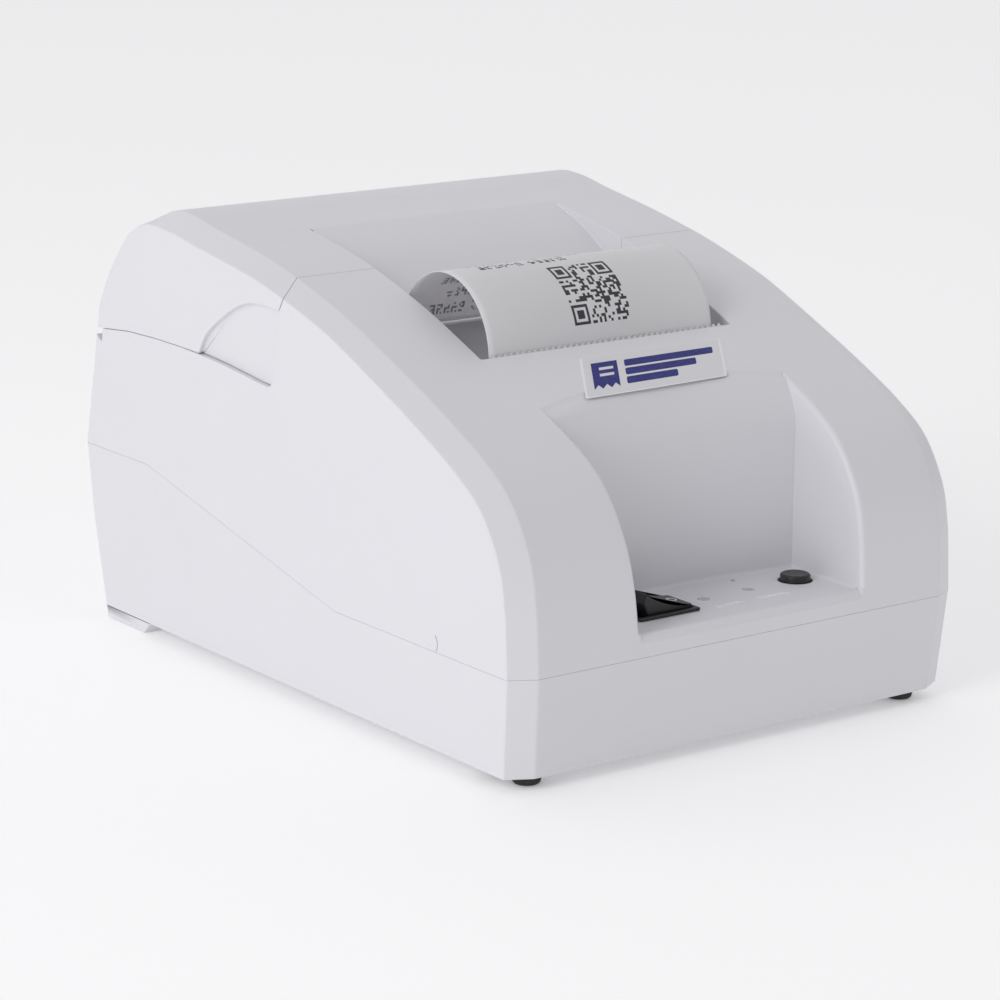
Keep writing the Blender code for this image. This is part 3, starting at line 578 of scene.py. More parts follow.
def printed(name, colour, rough=0.6, mottle=0.25):
    """Thermal print or pad print: slightly uneven cover."""
    made = Shader(name, colour, rough)
    made.tint(made.noise(0.0003, 3), mottle)
    made.gloss(made.noise(0.001, 3), 0.08)
    return made.material


def wound_paper(name, colour):
    """The end and outside of a paper roll: fine rings round its axis."""
    made = Shader(name, colour, 0.7)
    op = made.math
    y = op("SUBTRACT", made.axis("Y"), (ROLL[0] - LENGTH / 2) / 1000)
    z = op("SUBTRACT", made.axis("Z"), ROLL[1] / 1000)
    away = op("SQRT", op("ADD", op("MULTIPLY", y, y), op("MULTIPLY", z, z)))
    rings = op("SINE", op("MULTIPLY", away, 2 * pi / 0.00042))
    uneven = op("SINE", op("MULTIPLY", away, 2 * pi / 0.0037))
    both = op("ADD", op("MULTIPLY", rings, 0.6), op("MULTIPLY", uneven, 0.4))
    made.tint(made.spread(both, 0, 1, -1, 1), 0.05)
    made.gloss(made.noise(0.003, 3), 0.06)
    made.bump(op("ADD", both, made.noise(0.0004, 2)), 0.25, 0.00006)
    return made.material


def ground_rubber(name, colour):
    """Platen rubber, ground round its axis."""
    made = Shader(name, colour, 0.62)
    rings = made.noise(0.0009, 4, (1, 0.12, 0.12))
    made.tint(made.noise(0.004, 4), 0.3)
    made.gloss(rings, 0.1)
    made.bump(made.math("ADD", rings, made.noise(0.00025, 2)), 0.3, 0.00005)
    return made.material


def head_ceramic(name):
    """Thermal head substrate: pale alumina with its glaze ridge and driver strip."""
    made = Shader(name, (0.78, 0.77, 0.72), 0.32)
    op = made.math
    z = made.axis("Z")
    glaze = op("LESS_THAN", op("ABSOLUTE", op("SUBTRACT", z, 0.0648)), 0.0009)
    strip = op("GREATER_THAN", z, 0.0672)
    tracks = op("GREATER_THAN", op("SINE", op("MULTIPLY", made.axis("X"), 2 * pi / 0.0005)), 0)
    gold = made.blend(tracks, (0.78, 0.77, 0.72), (0.62, 0.44, 0.16))
    colour = made.blend(op("GREATER_THAN", z, 0.0612), gold, (0.74, 0.72, 0.66))
    colour = made.blend(glaze, colour, (0.16, 0.07, 0.03))
    colour = made.blend(strip, colour, (0.03, 0.03, 0.03))
    made.drive("Base Color", colour)
    made.gloss(made.noise(0.001, 3), 0.08)
    made.bump(made.noise(0.0005, 3), 0.1, 0.00003)
    return made.material


def circuit_board(name, parts_above):
    """Solder mask with tracks and pads under it; black and silver parts above a height."""
    made = Shader(name, (0.02, 0.16, 0.06), 0.35)

    def near(scale, limit, **settings):
        cells = made.node("ShaderNodeTexVoronoi", "Distance", ("Scale", scale),
                          ("Vector", made.placed((1, 1, 0))), **settings)
        return made.math("LESS_THAN", cells, limit)

    track = near(330, 0.12, feature="DISTANCE_TO_EDGE", distance="MANHATTAN")
    mask = made.blend(track, (0.015, 0.13, 0.05), (0.05, 0.27, 0.1))
    mask = made.blend(near(420, 0.17, feature="F1"), mask, (0.72, 0.7, 0.66))
    high = made.math("GREATER_THAN", made.axis("Z"), parts_above)
    made.drive("Base Color", made.blend(high, mask, (0.025, 0.025, 0.028)))
    made.gloss(made.noise(0.002, 3), 0.08)
    made.bump(track, 0.15, 0.00004)
    return made.material


def flat_cable(name):
    made = Shader(name, (0.8, 0.81, 0.8), 0.38)
    op = made.math
    wires = op("SINE", op("MULTIPLY", made.axis("X"), 2 * pi / 0.001))
    inner = op("LESS_THAN", op("ABSOLUTE", made.axis("X")), 0.0112)
    copper = op("MULTIPLY", op("GREATER_THAN", wires, 0.1), inner)
    made.drive("Base Color", made.blend(copper, (0.8, 0.81, 0.8), (0.62, 0.6, 0.55)))
    made.gloss(made.noise(0.003, 3), 0.05)
    made.bump(wires, 0.2, 0.00005)
    return made.material


def make_materials():
    through = {"Subsurface_Weight": 0.6, "Subsurface_Scale": 0.0006,
               "Subsurface_Radius": (1, 1, 1)}
    return {
        "white": moulded("white_abs", (0.762, 0.756, 0.79), 0.42),
        "base": moulded("white_abs_base", (0.758, 0.752, 0.785), 0.44),
        "grey": moulded("grey_abs", (0.2, 0.205, 0.21), 0.48, strength=0.2, mottle=0.05),
        "black": moulded("black_abs", (0.018, 0.018, 0.02), 0.36, strength=0.15, mottle=0.2),
        "socket": moulded("black_nylon", (0.022, 0.022, 0.023), 0.5, strength=0.2, mottle=0.2),
        "gear": moulded("natural_acetal", (0.74, 0.73, 0.68), 0.38, grain=0.0005, mottle=0.03,
                        Subsurface_Weight=0.1, Subsurface_Scale=0.002),
        "pad": moulded("rubber_pad", (0.03, 0.03, 0.03), 0.8, strength=0.4, mottle=0.3),
        "lens": moulded("lens_milky", (0.52, 0.53, 0.55), 0.25, strength=0.03, mottle=0.03,
                        Coat_Weight=0.4, Coat_Roughness=0.08),
        "rubber": ground_rubber("platen_rubber", (0.028, 0.028, 0.03)),
        "steel": metal("steel_sheet", (0.58, 0.58, 0.59), 0.34, (0.12, 1, 1)),
        "screw": metal("steel_screw", (0.52, 0.52, 0.53), 0.3, (1, 1, 1), 0.06),
        "blade": metal("steel_blade", (0.84, 0.84, 0.85), 0.42, (1, 1, 0.1)),
        "sink": metal("aluminium", (0.72, 0.73, 0.74), 0.38, (0.06, 1, 1)),
        "gold": metal("gold_contact", (0.83, 0.62, 0.28), 0.24, (1, 0.2, 1), 0.05),
        "paper": thermal_paper("thermal_paper", (0.79, 0.785, 0.81), 0.55, **through),
        "back": thermal_paper("thermal_paper_back", (0.76, 0.75, 0.775), 0.62, **through),
        "ink": printed("thermal_print", (0.035, 0.035, 0.042)),
        "ghost": printed("print_seen_through", (0.47, 0.46, 0.485)),
        "roll": wound_paper("wound_paper", (0.74, 0.74, 0.76)),
        "card": moulded("core_board", (0.42, 0.31, 0.2), 0.85, grain=0.0006, strength=0.5,
                        mottle=0.12),
        "label": thermal_paper("label_film", (0.735, 0.73, 0.755), 0.34),
        # the label's edge is painted lighter and glossier than its face: a painted highlight along
        # the film's edge
        "rim_highlight": thermal_paper("label_edge_painted_highlight", (0.88, 0.88, 0.9), 0.22),
        "blue": printed("blue_print", (0.008, 0.013, 0.19), 0.55),
        "mark": printed("white_pad_print", (0.93, 0.93, 0.95), 0.4, 0.04),
        "dark": printed("dark_print", (0.04, 0.04, 0.05), 0.5),
        "head": head_ceramic("head_ceramic"),
        "board": circuit_board("solder_mask", 0.00965),
        "side_board": circuit_board("solder_mask_side", 1),
        "cable": flat_cable("flat_cable"),}


def paint(obj, material):
    if obj.data.materials:
        obj.data.materials.clear()
    obj.data.materials.append(material)


def finish_cad(name, material, width):
    """A CAD node kept as it is: its triangles are joined, its edges rounded and shaded."""
    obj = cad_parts[name]
    paint(obj, material)
    weld = obj.modifiers.new("weld", "WELD")
    weld.merge_threshold = 0.000005
    if width:
        bevel = obj.modifiers.new("rounding", "BEVEL")
        bevel.width, bevel.segments = width / 1000, 2
        bevel.limit_method, bevel.angle_limit = "ANGLE", radians(CAD_SHARP)
    normals = smooth(obj).modifiers.new("normals", "WEIGHTED_NORMAL")
    normals.keep_sharp = True


# Paper


def web_path():
    run = (57 - 89.8, 50.2 - 20.86)
    size = hypot(*run)
    along = (run[0] / size, run[1] / size)
    out = ROLL_R + 0.3
    start = (ROLL[0] - along[1] * out, ROLL[1] + along[0] * out)
    wrap = PLATEN[0] - PAPER_F
    straight = [(start[0] + along[0] * 50 * i / 24, start[1] + along[1] * 50 * i / 24)
                for i in range(25)]
    turn = [radians(225 - 45 * i / 12) for i in range(13)]
    rise = [(PAPER_F, 65 + 10.2 * i / 6) for i in range(1, 7)]
    return straight + arc(PLATEN, wrap, turn) + rise


CODE_CELLS, CODE_X, CODE_TURN = 25, (-7.7, 6.9), (163.5, 107.5)
LINES = [97 - 15 * i for i in range(6)]  # angles on the curl where lines of print start
LINE_ROWS, ROW_TURN = 5, 1.75  # rows of dots in a line, and the angle that each takes
DOT = 0.47


def curl_rows():
    """(angle, what is printed on the row that starts there) over the curl."""
    rows = [(177, None), (172.5, None), (168, None)]
    step = (CODE_TURN[0] - CODE_TURN[1]) / CODE_CELLS
    rows += [(CODE_TURN[0] - step * i, ("code", i)) for i in range(CODE_CELLS)]
    rows += [(CODE_TURN[1], None), (104, None), (100.5, None)]
    for line, start in enumerate(LINES):
        rows += [(start - ROW_TURN * i, ("line", line, i)) for i in range(LINE_ROWS)]
        rest = start - ROW_TURN * LINE_ROWS
        rows += [(rest, None), (rest - 3.1, None)]
    return rows + [(6.5, None)]


def code_cells(rng):
    """A random block pattern that reads as a printed code and holds no data."""
    size = CODE_CELLS
    grid = [[rng.random() < 0.47 for _ in range(size)] for _ in range(size)]
    for row, column in ((0, 0), (0, size - 7), (size - 7, 0)):
        for i in range(-1, 8):
            for j in range(-1, 8):
                if 0 <= row + i < size and 0 <= column + j < size:
                    ring = max(abs(i - 3), abs(j - 3))
                    grid[row + i][column + j] = ring in (0, 1, 3)
    return grid


def line_dots(rng):
    """Greeked characters: rows of dots, 3 wide and 5 high, in words of random length."""
    dots, column = {}, rng.randrange(6, 16)
    last = rng.randrange(44, 78)
    while column < last:
        for _ in range(rng.randrange(2, 8)):
            for i in range(LINE_ROWS):
                for j in range(3):
                    edge = i in (0, 2, 4) or j in (0, 2)
                    dots[i, column + j] = rng.random() < (0.66 if edge else 0.12)
            column += 4
        column += 3
    return dots


def make_sheet():
    rng = random.Random(58)
    code, lines = code_cells(rng), [line_dots(rng) for _ in LINES]
    low, high = CODE_X
    cell = (high - low) / CODE_CELLS
    columns = [PAPER_X[0], -28.3, -26.6]
    while columns[-1] + DOT < low - 0.1:
        columns.append(columns[-1] + DOT)
    columns += [low + cell * i for i in range(CODE_CELLS + 1)]
    while columns[-1] + DOT < 25.5:
        columns.append(columns[-1] + DOT)
    columns += [26.6, PAPER_X[1]]

    path = [(f, z, None) for f, z in web_path()]
    for turn, content in curl_rows():
        a = radians(turn)
        path.append((CURL[0] + CURL_R * cos(a), CURL[1] + CURL_R * sin(a), content))
    mesh = bmesh.new()
    grid = [[mesh.verts.new(point(x, f, z)) for x in columns] for f, z, _ in path]
    for i, (_, _, content) in enumerate(path[:-1]):
        for j in range(len(columns) - 1):
            face = mesh.faces.new((grid[i][j], grid[i][j + 1], grid[i + 1][j + 1], grid[i + 1][j]))
            middle = (columns[j] + columns[j + 1]) / 2
            inked = False
            if content and content[0] == "code" and low < middle < high:
                row = CODE_CELLS - 1 - content[1]
                inked = code[row][min(int((middle - low) / cell), CODE_CELLS - 1)]
            if content and content[0] == "line":
                dot = (LINE_ROWS - 1 - content[2], int((middle + 26.6) / DOT))
                inked = lines[content[1]].get(dot, False)
            face.material_index = 2 if inked else 0
    sheet = new_object("paper_sheet", mesh)
    for key in ("paper", "back", "ink", "ghost"):
        sheet.data.materials.append(PAINTS[key])
    solid = sheet.modifiers.new("thickness", "SOLIDIFY")
    solid.thickness, solid.offset, solid.material_offset = 0.0001, 0, 1
    smooth(applied(sheet))
    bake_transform(sheet)
    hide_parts("paper_web", "receipt")


def turned(name, profile, count, place, poles=()):
    """Turns a profile of (a, b) round an axis: place(a, b, angle) gives a point."""
    mesh = bmesh.new()
    ends = [mesh.verts.new(pole) for pole in poles]
    rings = [[mesh.verts.new(place(*row, 2 * pi * i / count)) for row in profile]
             for i in range(count)]
    for low, high in zip(rings, rings[1:] + rings[:1]):
        if ends:
            mesh.faces.new((ends[0], low[0], high[0]))
            mesh.faces.new((ends[1], high[-1], low[-1]))
        for j in range(len(profile) - (1 if ends else 0)):
            k = (j + 1) % len(profile)
            mesh.faces.new((low[j], low[k], high[k], high[j]))
    return new_object(name, mesh)


def turned_x(name, profile, count):
    """A closed (x, radius) profile turned round the roll's axis."""
    return turned(name, profile, count, lambda x, r, a: point(
        x, ROLL[0] + r * cos(a), ROLL[1] + r * sin(a)))


def turned_z(name, where, profile, count=64):
    """An open (radius, z) profile, from axis to axis, turned round a z axis at (x, f)."""
    return turned(name, profile[1:-1], count, lambda r, z, a: point(
        where[0] + r * cos(a), where[1] + r * sin(a), z),
        [point(*where, profile[i][1]) for i in (0, -1)])


def make_roll():
    x0, x1 = PAPER_X
    profile, layers = [], 26
    rng = random.Random(4)
    for end, way in ((x0, 1), (x1, -1)):
        radii = [CORE_R + 0.05 + (ROLL_R - 0.3 - CORE_R) * i / layers for i in range(layers + 1)]
        if way < 0:
            radii.reverse()
            profile.append((x1, ROLL_R - 0.25))
        for radius in radii:
            profile.append((end + way * rng.uniform(0, 0.12), radius))
        if way > 0:
            profile += [(x0, ROLL_R - 0.25), (x0 + 0.2, ROLL_R - 0.02), (x1 - 0.2, ROLL_R - 0.02)]
    roll = smooth(turned_x("paper_roll_wound", profile, 128))
    placed(roll, "roll", "roll", "paper_roll")
    core = turned_x("roll_core_tube", [
        (x0, CORE_R - 1.1), (x0, CORE_R), (x1, CORE_R), (x1, CORE_R - 1.1)], 72)
    placed(soften(core, 0.12), "roll", "card", "roll_core")


# Small pieces


def placed(obj, body, kind, *nodes):
    """Paints a new piece, puts it under its body's empty and hides the CAD nodes that it replaces.
    """
    paint(obj, PAINTS[kind])
    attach(obj, body)
    if nodes:
        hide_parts(*nodes)


def fitted(obj, radius, kind, *nodes):
    """A piece of the case with its edges rounded."""
    placed(soften(obj, radius), "case", kind, *nodes)


def make_panel():
    x0, x1, f0, f1 = SWITCH
    middle_x, middle_f, pivot_z = (x0 + x1) / 2, (f0 + f1) / 2, PANEL + 1.2
    body = box("switch_bezel", x0, x1, f0, f1, PANEL + 0.03, PANEL + 0.75)
    join(body, box("case", x0 + 0.8, x1 - 0.8, f0 + 0.8, f1 - 0.8, 13.6, 28))
    cut(body, box("hollow", middle_x - 6.75, middle_x + 6.75, middle_f - 4.15, middle_f + 4.15,
                  22.6, 33))
    fitted(body, 0.3, "black", "switch_body")

    crown = spline([(-6.2, 2.2), (-3.2, 1.62), (0, 1.4), (3.2, 1.62), (6.2, 2.2)], 6)
    crown += [(6.2, 0.2), (3, -4), (-3, -4), (-6.2, 0.2)]
    c, s = cos(ROCKER_TILT), sin(ROCKER_TILT)

    def tilted(x, z):
        return middle_x + x * c + z * s, pivot_z - x * s + z * c

    rocker = prism_y("rocker_key", [tilted(x, z) for x, z in crown],
                     middle_f - 3.9, middle_f + 3.9)
    placed(soften(rocker, 0.35, angle=30), "rocker", "black", "power_rocker")
    bar = prism_y("rocker_mark_bar", [tilted(x, z) for x, z in (
        (-4.3, 1.6), (-4, 1.6), (-4, 1.86), (-4.3, 1.92))], middle_f - 1.2, middle_f + 1.2)
    ring = loft("rocker_mark_ring", [[(tilted(3.9 + r * cos(a), high + 0.052 * r * cos(a))[0],
         middle_f + r * sin(a), tilted(3.9 + r * cos(a), high + 0.2 * r * cos(a))[1])
        for a in (2 * pi * i / 32 for i in range(32))]
        for r, high in ((1.15, 1.55), (1.15, 1.79), (0.85, 1.79), (0.85, 1.55))], caps=False)
    for mark in (bar, ring):
        placed(mark, "rocker", "mark")

    dome = [(0, 23), (3.15, 23), (3.15, 23.2), (4.75, 23.2), (4.8, 23.3), (4.8, 24.3),
            (4.75, 24.4), (3.15, 24.4)]
    dome += [(3.15 - 0.5 * (1 - cos(a)), PANEL + 0.95 + 0.5 * sin(a)) for a in quarter(6)]
    dome += [(2.4, PANEL + 1.42), (1.2, PANEL + 1.37), (0, PANEL + 1.35)]
    placed(sharp(turned_z("button_cap", BUTTON, dome)), "button", "black", "feed_button")
    for name, node, where in zip(("lens_power", "lens_paper"), ("power_light", "paper_light"),
                                 LEDS):
        top = [(0, 18.6), (1.5, 18.6), (1.5, 25), (1.2, 25.1), (1.2, PANEL - 0.12),
               (1.1, PANEL - 0.02), (0.6, PANEL + 0.05), (0, PANEL + 0.07)]
        placed(sharp(turned_z(name, where, top, 40)), "case", "lens", node)
    make_panel_marks()


def sharp(obj, angle=35):
    """Shades smooth except over edges sharper than angle."""
    mesh = bmesh.new()
    mesh.from_mesh(obj.data)
    for edge in mesh.edges:
        edge.smooth = edge.calc_face_angle(0) < radians(angle)
    mesh.to_mesh(obj.data)
    mesh.free()
    return smooth(obj)


def make_panel_marks():
    """Raised pictograms before the lights: power and paper, each with two dashes."""
    low, high = PANEL - 0.05, PANEL + 0.1

    def ring(x, f, r, gap):
        turn = [pi / 2 + gap + (2 * pi - 2 * gap) * i / 24 for i in range(25)]
        return arc((x, f), r, turn) + arc((x, f), r - LINE, turn[::-1])

    def bar(x, f, width, depth=DASH):
        depth *= 1.5
        return [(x, f), (x + width, f), (x + width, f + depth), (x, f + depth)]

    shapes = [ring(-0.8, 7.7, 0.8, 0.6), bar(-0.91, 7.8, LINE, 0.9),
              bar(0.7, 7.4, 2), bar(0.7, 8.1, 1.4), bar(3.1, 7.4, 2.4), bar(2.5, 8.1, 2.2),
              [(9.6, 7.2), (10.9, 7.2), (10.9, 8.9), (9.6, 8.9), (9.6, 8.68), (10.68, 8.68),
               (10.68, 7.42), (9.6, 7.42)],
              bar(9.6, 7.9, 0.8, 0.25), bar(11.6, 7.4, 2.4), bar(11.6, 8.1, 1.6),
              bar(14.4, 7.4, 3), bar(13.6, 8.1, 2.6)]
    for i, shape in enumerate(shapes):
        placed(prism_z("panel_mark_%02d" % i, shape, low, high), "case", "mark")


def skin(name, plan, low, high):
    """A thin piece that follows the top of the case, its outline given in (x, f)."""
    top = [p for p in spline(TOP_CURVE, 8) if 24 < p[0] < 47]
    made = prism_x(name, offset(top, low) + offset(top, high)[::-1], -24, 32)
    return combine(made, ("INTERSECT", prism_z("plan", plan, 50, 90)))


def rounded(corners, radius):
    """A polygon with its corners rounded."""
    outline = []
    for i, corner in enumerate(corners):
        here = Vector(corner)
        back, on = Vector(corners[i - 1]) - here, Vector(corners[(i + 1) % len(corners)]) - here
        start, end = here + back.normalized() * radius, here + on.normalized() * radius
        for t in (0, 1 / 5, 2 / 5, 3 / 5, 4 / 5, 1):
            outline.append(tuple(start * (1 - t) ** 2 + here * 2 * t * (1 - t) + end * t * t))
    return outline


def make_front_label():
    corners = [(-18.4, 29.5), (18.4, 29.9), (25.8, 41.4), (-11, 41.4)]
    middle = Vector((3.7, 35.55))
    inner = [tuple(middle + (Vector(c) - middle) * 0.965) for c in corners]
    # the edge piece takes the lighter material, so the label's outline is a painted highlight
    placed(skin("label_edge", rounded(corners, 0.8), 0, 0.09), "case", "rim_highlight", "front_label")
    placed(skin("label_face", rounded(inner, 0.7), 0.08, 0.13), "case", "label")

    def on_label(u, v):
        """u runs along the label and v up it, both from 0 to 1."""
        low = Vector(corners[0]).lerp(Vector(corners[1]), u)
        high = Vector(corners[3]).lerp(Vector(corners[2]), u)
        return tuple(low.lerp(high, v))

    # A generic mark: a receipt with two lines on it, then three stripes.
    receipt = [(0.07, 0.82), (0.25, 0.82), (0.25, 0.16), (0.22, 0.26), (0.19, 0.16),
               (0.16, 0.26), (0.13, 0.16), (0.1, 0.26), (0.07, 0.16)]
    shapes = [("receipt", receipt)]
    for i, (u0, u1, v) in enumerate(((0.3, 0.93, 0.63), (0.3, 0.8, 0.41), (0.3, 0.66, 0.19))):
        shapes.append(("stripe_%d" % i, [(u0, v), (u1, v), (u1, v + 0.17), (u0, v + 0.17)]))
    for name, shape in shapes:
        outline = [on_label(u, v) for u, v in shape]
        if name == "receipt":
            mark = skin("label_" + name, outline, 0.125, 0.15)
            for v in (0.62, 0.46):
                slot = [(0.12, v), (0.22, v), (0.22, v + 0.07), (0.12, v + 0.07)]
                cut(mark, prism_z("line", [on_label(u, w) for u, w in slot], 50, 90))
        else:
            mark = skin("label_" + name, rounded(outline, 0.5), 0.125, 0.15)
        placed(mark, "case", "blue")


def make_rating_label():
    """The label under the case: a frame, grey bars for its lines and a block of bars."""
    fitted(box("rating_film", -26, 26, 62, 96, 2.42, 2.6), 0.03, "label", "rating_label")
    rng = random.Random(21)
    bars = [(-24.6, 24.6, 63.4, 63.7), (-24.6, 24.6, 94.3, 94.6), (-24.6, -24.3, 63.4, 94.6),
            (24.3, 24.6, 63.4, 94.6), (-24.6, 24.6, 76, 76.2)]
    for row in range(6):
        f = 91 - row * 2.4
        x = -22
        while x < 6:
            width = rng.uniform(1.5, 6)
            bars.append((x, min(x + width, 20), f, f + 0.9))
            x += width + 1
    x = -20
    while x < 19:
        width = rng.choice((0.3, 0.3, 0.6, 0.9))
        bars.append((x, x + width, 66, 73.5))
        x += width + rng.choice((0.35, 0.7))
    mesh = bmesh.new()
    for x0, x1, f0, f1 in bars:
        mesh.faces.new([mesh.verts.new(point(x, f, 2.41)) for x, f in (
            (x0, f0), (x0, f1), (x1, f1), (x1, f0))])
    print_piece = new_object("rating_print", mesh, outward=False)
    solid = print_piece.modifiers.new("thickness", "SOLIDIFY")
    solid.thickness, solid.offset = 0.00003, 1
    placed(applied(print_piece), "case", "dark")


def make_feet():
    for side, tag in ((-1, "l"), (1, "r")):
        profile = [(0, 0), (2.1, 0), (2.45, 0.08), (2.75, 0.35), (2.9, 0.9), (2.9, 2.5), (0, 2.5)]
        placed(sharp(turned_z("rubber_foot_" + tag, (side * 48.4, 8), profile, 48), 50), "case",
               "pad", "foot_" + tag)


def make_sockets():
    (a0, a1, az0, az1), (b0, b1, bz0, bz1), (c0, c1, cz0, cz1) = PORTS
    usb = box("usb_shell", a0, a1, 142, PORT_FACE, az0, az1)
    cut(usb, box("hollow", a0 + 0.5, a1 - 0.5, 144, 160, az0 + 0.5, az1 - 0.5))
    fitted(usb, 0.2, "screw", "usb_socket")
    tongue = [(a0 + 3.2, az0 + 3.4), (a1 - 3.2, az0 + 3.4), (a1 - 3.2, az1 - 4.4),
              (a1 - 4, az1 - 3.8), (a0 + 4, az1 - 3.8), (a0 + 3.2, az1 - 4.4)]
    fitted(prism_y("usb_tongue", tongue, 143.5, PORT_FACE - 1), 0.15, "socket")
    lining = box("usb_lining", a0 + 0.5, a1 - 0.5, 143.8, PORT_FACE - 0.6, az0 + 0.5, az1 - 0.5)
    cut(lining, prism_y("way", rounded([(a0 + 1.2, az0 + 1.2), (a1 - 1.2, az0 + 1.2),
                                        (a1 - 1.2, az1 - 3), (a1 - 2.6, az1 - 1.2),
                                        (a0 + 2.6, az1 - 1.2), (a0 + 1.2, az1 - 3)], 0.3),
                        144.4, 165))
    fitted(lining, 0.12, "socket")
    for i in range(4):
        x = a0 + 3.2 + (a1 - a0 - 6.4) * (0.28 if i % 2 else 0.72)
        z = az0 + 3.4 if i < 2 else az1 - 3.8
        fitted(box("usb_contact_%d" % i, x - 0.55, x + 0.55, 144.5, PORT_FACE - 1.6,
                   z - 0.12, z + 0.12), 0.06, "gold")

    drawer = box("drawer_shell", b0, b1, 141, PORT_FACE, bz0, bz1)
    cut(drawer, box("hollow", b0 + 1.9, b1 - 1.9, 144, 160, bz0 + 2.4, bz1 - 3.2),
        box("key", b0 + 4.6, b1 - 4.6, 144, 160, bz1 - 4, bz1 - 1.6))
    fitted(drawer, 0.25, "socket", "drawer_socket")
    for i in range(6):
        x = (b0 + b1) / 2 + (i - 2.5) * 1.02
        wire = [(145, bz0 + 2.7), (148, bz0 + 2.6), (156, bz0 + 4.8), (156.2, bz0 + 4.55),
                (148.2, bz0 + 2.3), (145, bz0 + 2.3)]
        fitted(prism_x("drawer_contact_%d" % i, wire, x - 0.2, x + 0.2), 0.06, "gold")

    jack = box("power_shell", c0, c1, 144, PORT_FACE, cz0, cz1)
    middle = ((c0 + c1) / 2, (cz0 + cz1) / 2)
    cut(jack, rod_y("way", middle, 3.2, 147, 160))
    fitted(jack, 0.3, "socket", "power_socket")
    sleeve = rod_y("power_sleeve", middle, 3.2, 147.5, PORT_FACE - 0.8)
    cut(sleeve, rod_y("bore", middle, 2.95, 147.9, 165))
    placed(sharp(soften(sleeve, 0.1)), "case", "screw")
    pin = rod_y("power_pin", middle, 1, 147.8, PORT_FACE - 1.5, 32)
    fitted(pin, 0.25, "screw")
    make_port_marks()


def make_port_marks():
    """Small raised pictograms over the sockets."""
    def rear(z):
        return between([(SEAM_LOW, 160.1), (SEAM_HIGH + 1, LENGTH)], z)

    def mark(name, outline, z):
        made = prism_y(name, outline, rear(z) - 0.5, rear(z) - 0.02)
        placed(made, "case", "base")

    z = 29
    for i, (x, w) in enumerate(((-25.2, 3.2), (-22.6, 0.8))):
        mark("port_mark_usb_%d" % i, [(x, z), (x + w, z), (x + w, z + 0.7), (x, z + 0.7)], z)
    mark("port_mark_drawer", [(-2.2, z - 0.8), (3, z - 0.8), (3, z + 1.4), (-2.2, z + 1.4)], z)
    mark("port_mark_power", circle((21.7, z + 0.3), 1.1, 28), z)


# Camera, light and floor


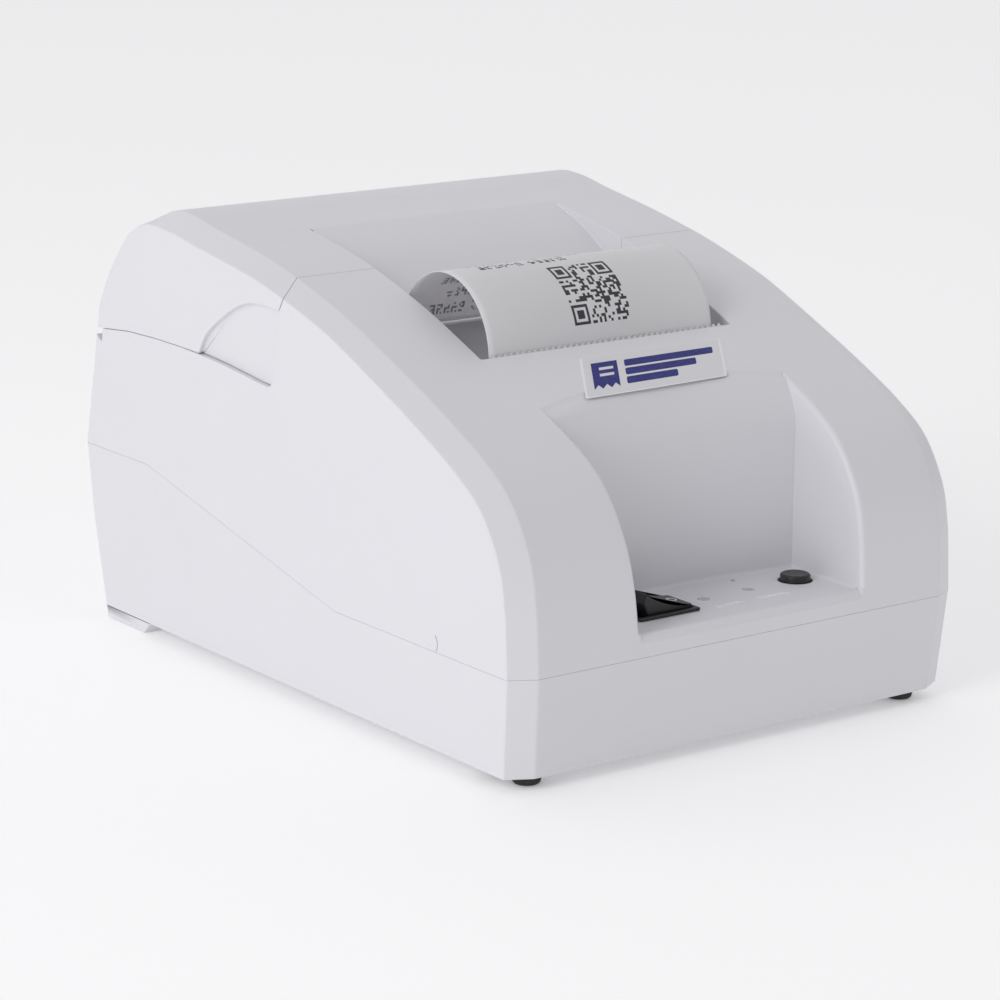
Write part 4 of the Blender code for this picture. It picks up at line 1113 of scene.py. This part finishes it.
def make_stage():
    scene = bpy.context.scene
    scene.view_settings.view_transform = "Standard"
    camera = bpy.data.objects.new("camera", bpy.data.cameras.new("camera"))
    scene.collection.objects.link(camera)
    scene.camera = camera
    camera.data.lens, camera.data.sensor_width = 124.93, 36
    camera.data.clip_start, camera.data.clip_end = 0.01, 20
    ahead = Vector((0.57199, 0.78384, -0.24175)).normalized()
    level = Vector((0.8078, -0.5895, 0)).normalized()
    above = level.cross(ahead).normalized()
    roll = radians(0.25)
    right = level * cos(roll) + above * sin(roll)
    above = right.cross(ahead).normalized()
    turn = Matrix((right, above, -ahead)).transposed()
    camera.matrix_world = Matrix.Translation(point(-429.06, -504.53, 215.31)) @ turn.to_4x4()

    mesh = bmesh.new()
    bmesh.ops.create_grid(mesh, x_segments=1, y_segments=1, size=4)
    bmesh.ops.translate(mesh, verts=mesh.verts, vec=(0, 0, -0.0001))
    floor = new_object("floor", mesh)
    made = Shader("floor_paper", (0.95, 0.95, 0.955), 0.7, Emission_Color=(1, 1, 1, 1),
                  Emission_Strength=0.19)
    made.tint(made.noise(0.2, 3), 0.004)
    made.bump(made.noise(0.001, 2), 0.02)
    paint(floor, made.material)

    world = bpy.data.worlds.new("studio")
    scene.world = world
    world.use_nodes = True
    tree = world.node_tree
    back = tree.nodes["Background"]
    where = add_node(tree, "ShaderNodeTexCoord").outputs["Generated"]
    lean = add_node(tree, "ShaderNodeVectorMath", (0, where), (1, SKY_LEAN),
                    operation="DOT_PRODUCT").outputs["Value"]
    level = add_node(tree, "ShaderNodeMapRange", ("From Min", -1), ("To Min", SKY[0]),
                     ("To Max", SKY[1]), ("Value", lean))
    tree.links.new(level.outputs["Result"], back.inputs["Strength"])
    back.inputs["Color"].default_value = (0.992, 0.985, 1, 1)
    for name, where, size, power in LAMPS:
        lamp = bpy.data.lights.new(name, "AREA")
        lamp.size, lamp.energy = size, power
        obj = bpy.data.objects.new(name, lamp)
        obj.location = where
        aim = Vector((0, 0, 0.04)) - Vector(where)
        obj.rotation_euler = aim.to_track_quat("-Z", "Y").to_euler()
        scene.collection.objects.link(obj)


SKY_LEAN, SKY = (0.35, 0.75, 0.5), (0.24, 0.84)
LAMPS = (("left", (-2.3, -0.0575, 0.247), 0.22, 3), ("high_left", (-1.5, -0.35, 1), 0.7, 5.8),
         ("front_left", (-1.6, -0.6, 0.5), 0.6, 2.4))

# How each kept CAD node looks: its material and how far its edges are rounded
KEPT = {
    "grey": {"paper_bucket": 0.3},
    "steel": {"mech_frame": 0.12, "stepper_motor": 0.3},
    "screw": {"hinge_pin_l": 0.15, "hinge_pin_r": 0.15, "platen_shaft": 0.2,
              "head_spring_l": 0, "head_spring_r": 0, **{
                  kind + tag: 0.1 for tag in "lr" for kind in (
                      "case_screw_front_", "case_screw_rear_", "board_screw_front_",
                      "board_screw_rear_", "bucket_screw_")}},
    "blade": {"tear_bar": 0},
    "sink": {"head_heatsink": 0.15},
    "head": {"thermal_head": 0.08},
    "rubber": {"platen_roller": 0.2},
    "gear": {"platen_gear": 0.06, "idler_gear": 0.06, "motor_pinion": 0.05},
    "socket": {"platen_bush_l": 0.1, "platen_bush_r": 0.1, "tact_switch": 0.15},
    "board": {"main_board": 0.08},
    "side_board": {"port_board": 0.08, "panel_board": 0.08},
    "cable": {"ribbon_cable": 0.04},}


def main():
    make_stage()
    PAINTS.update(make_materials())
    placed(make_base(), "case", "base", "base_housing")
    placed(make_upper(), "case", "white", "upper_housing")
    placed(make_cover(), "cover", "white", "paper_cover")
    make_sheet()
    make_roll()
    make_panel()
    make_front_label()
    make_rating_label()
    make_feet()
    make_sockets()
    for kind, rows in KEPT.items():
        for name, width in rows.items():
            finish_cad(name, PAINTS[kind], width)


main()
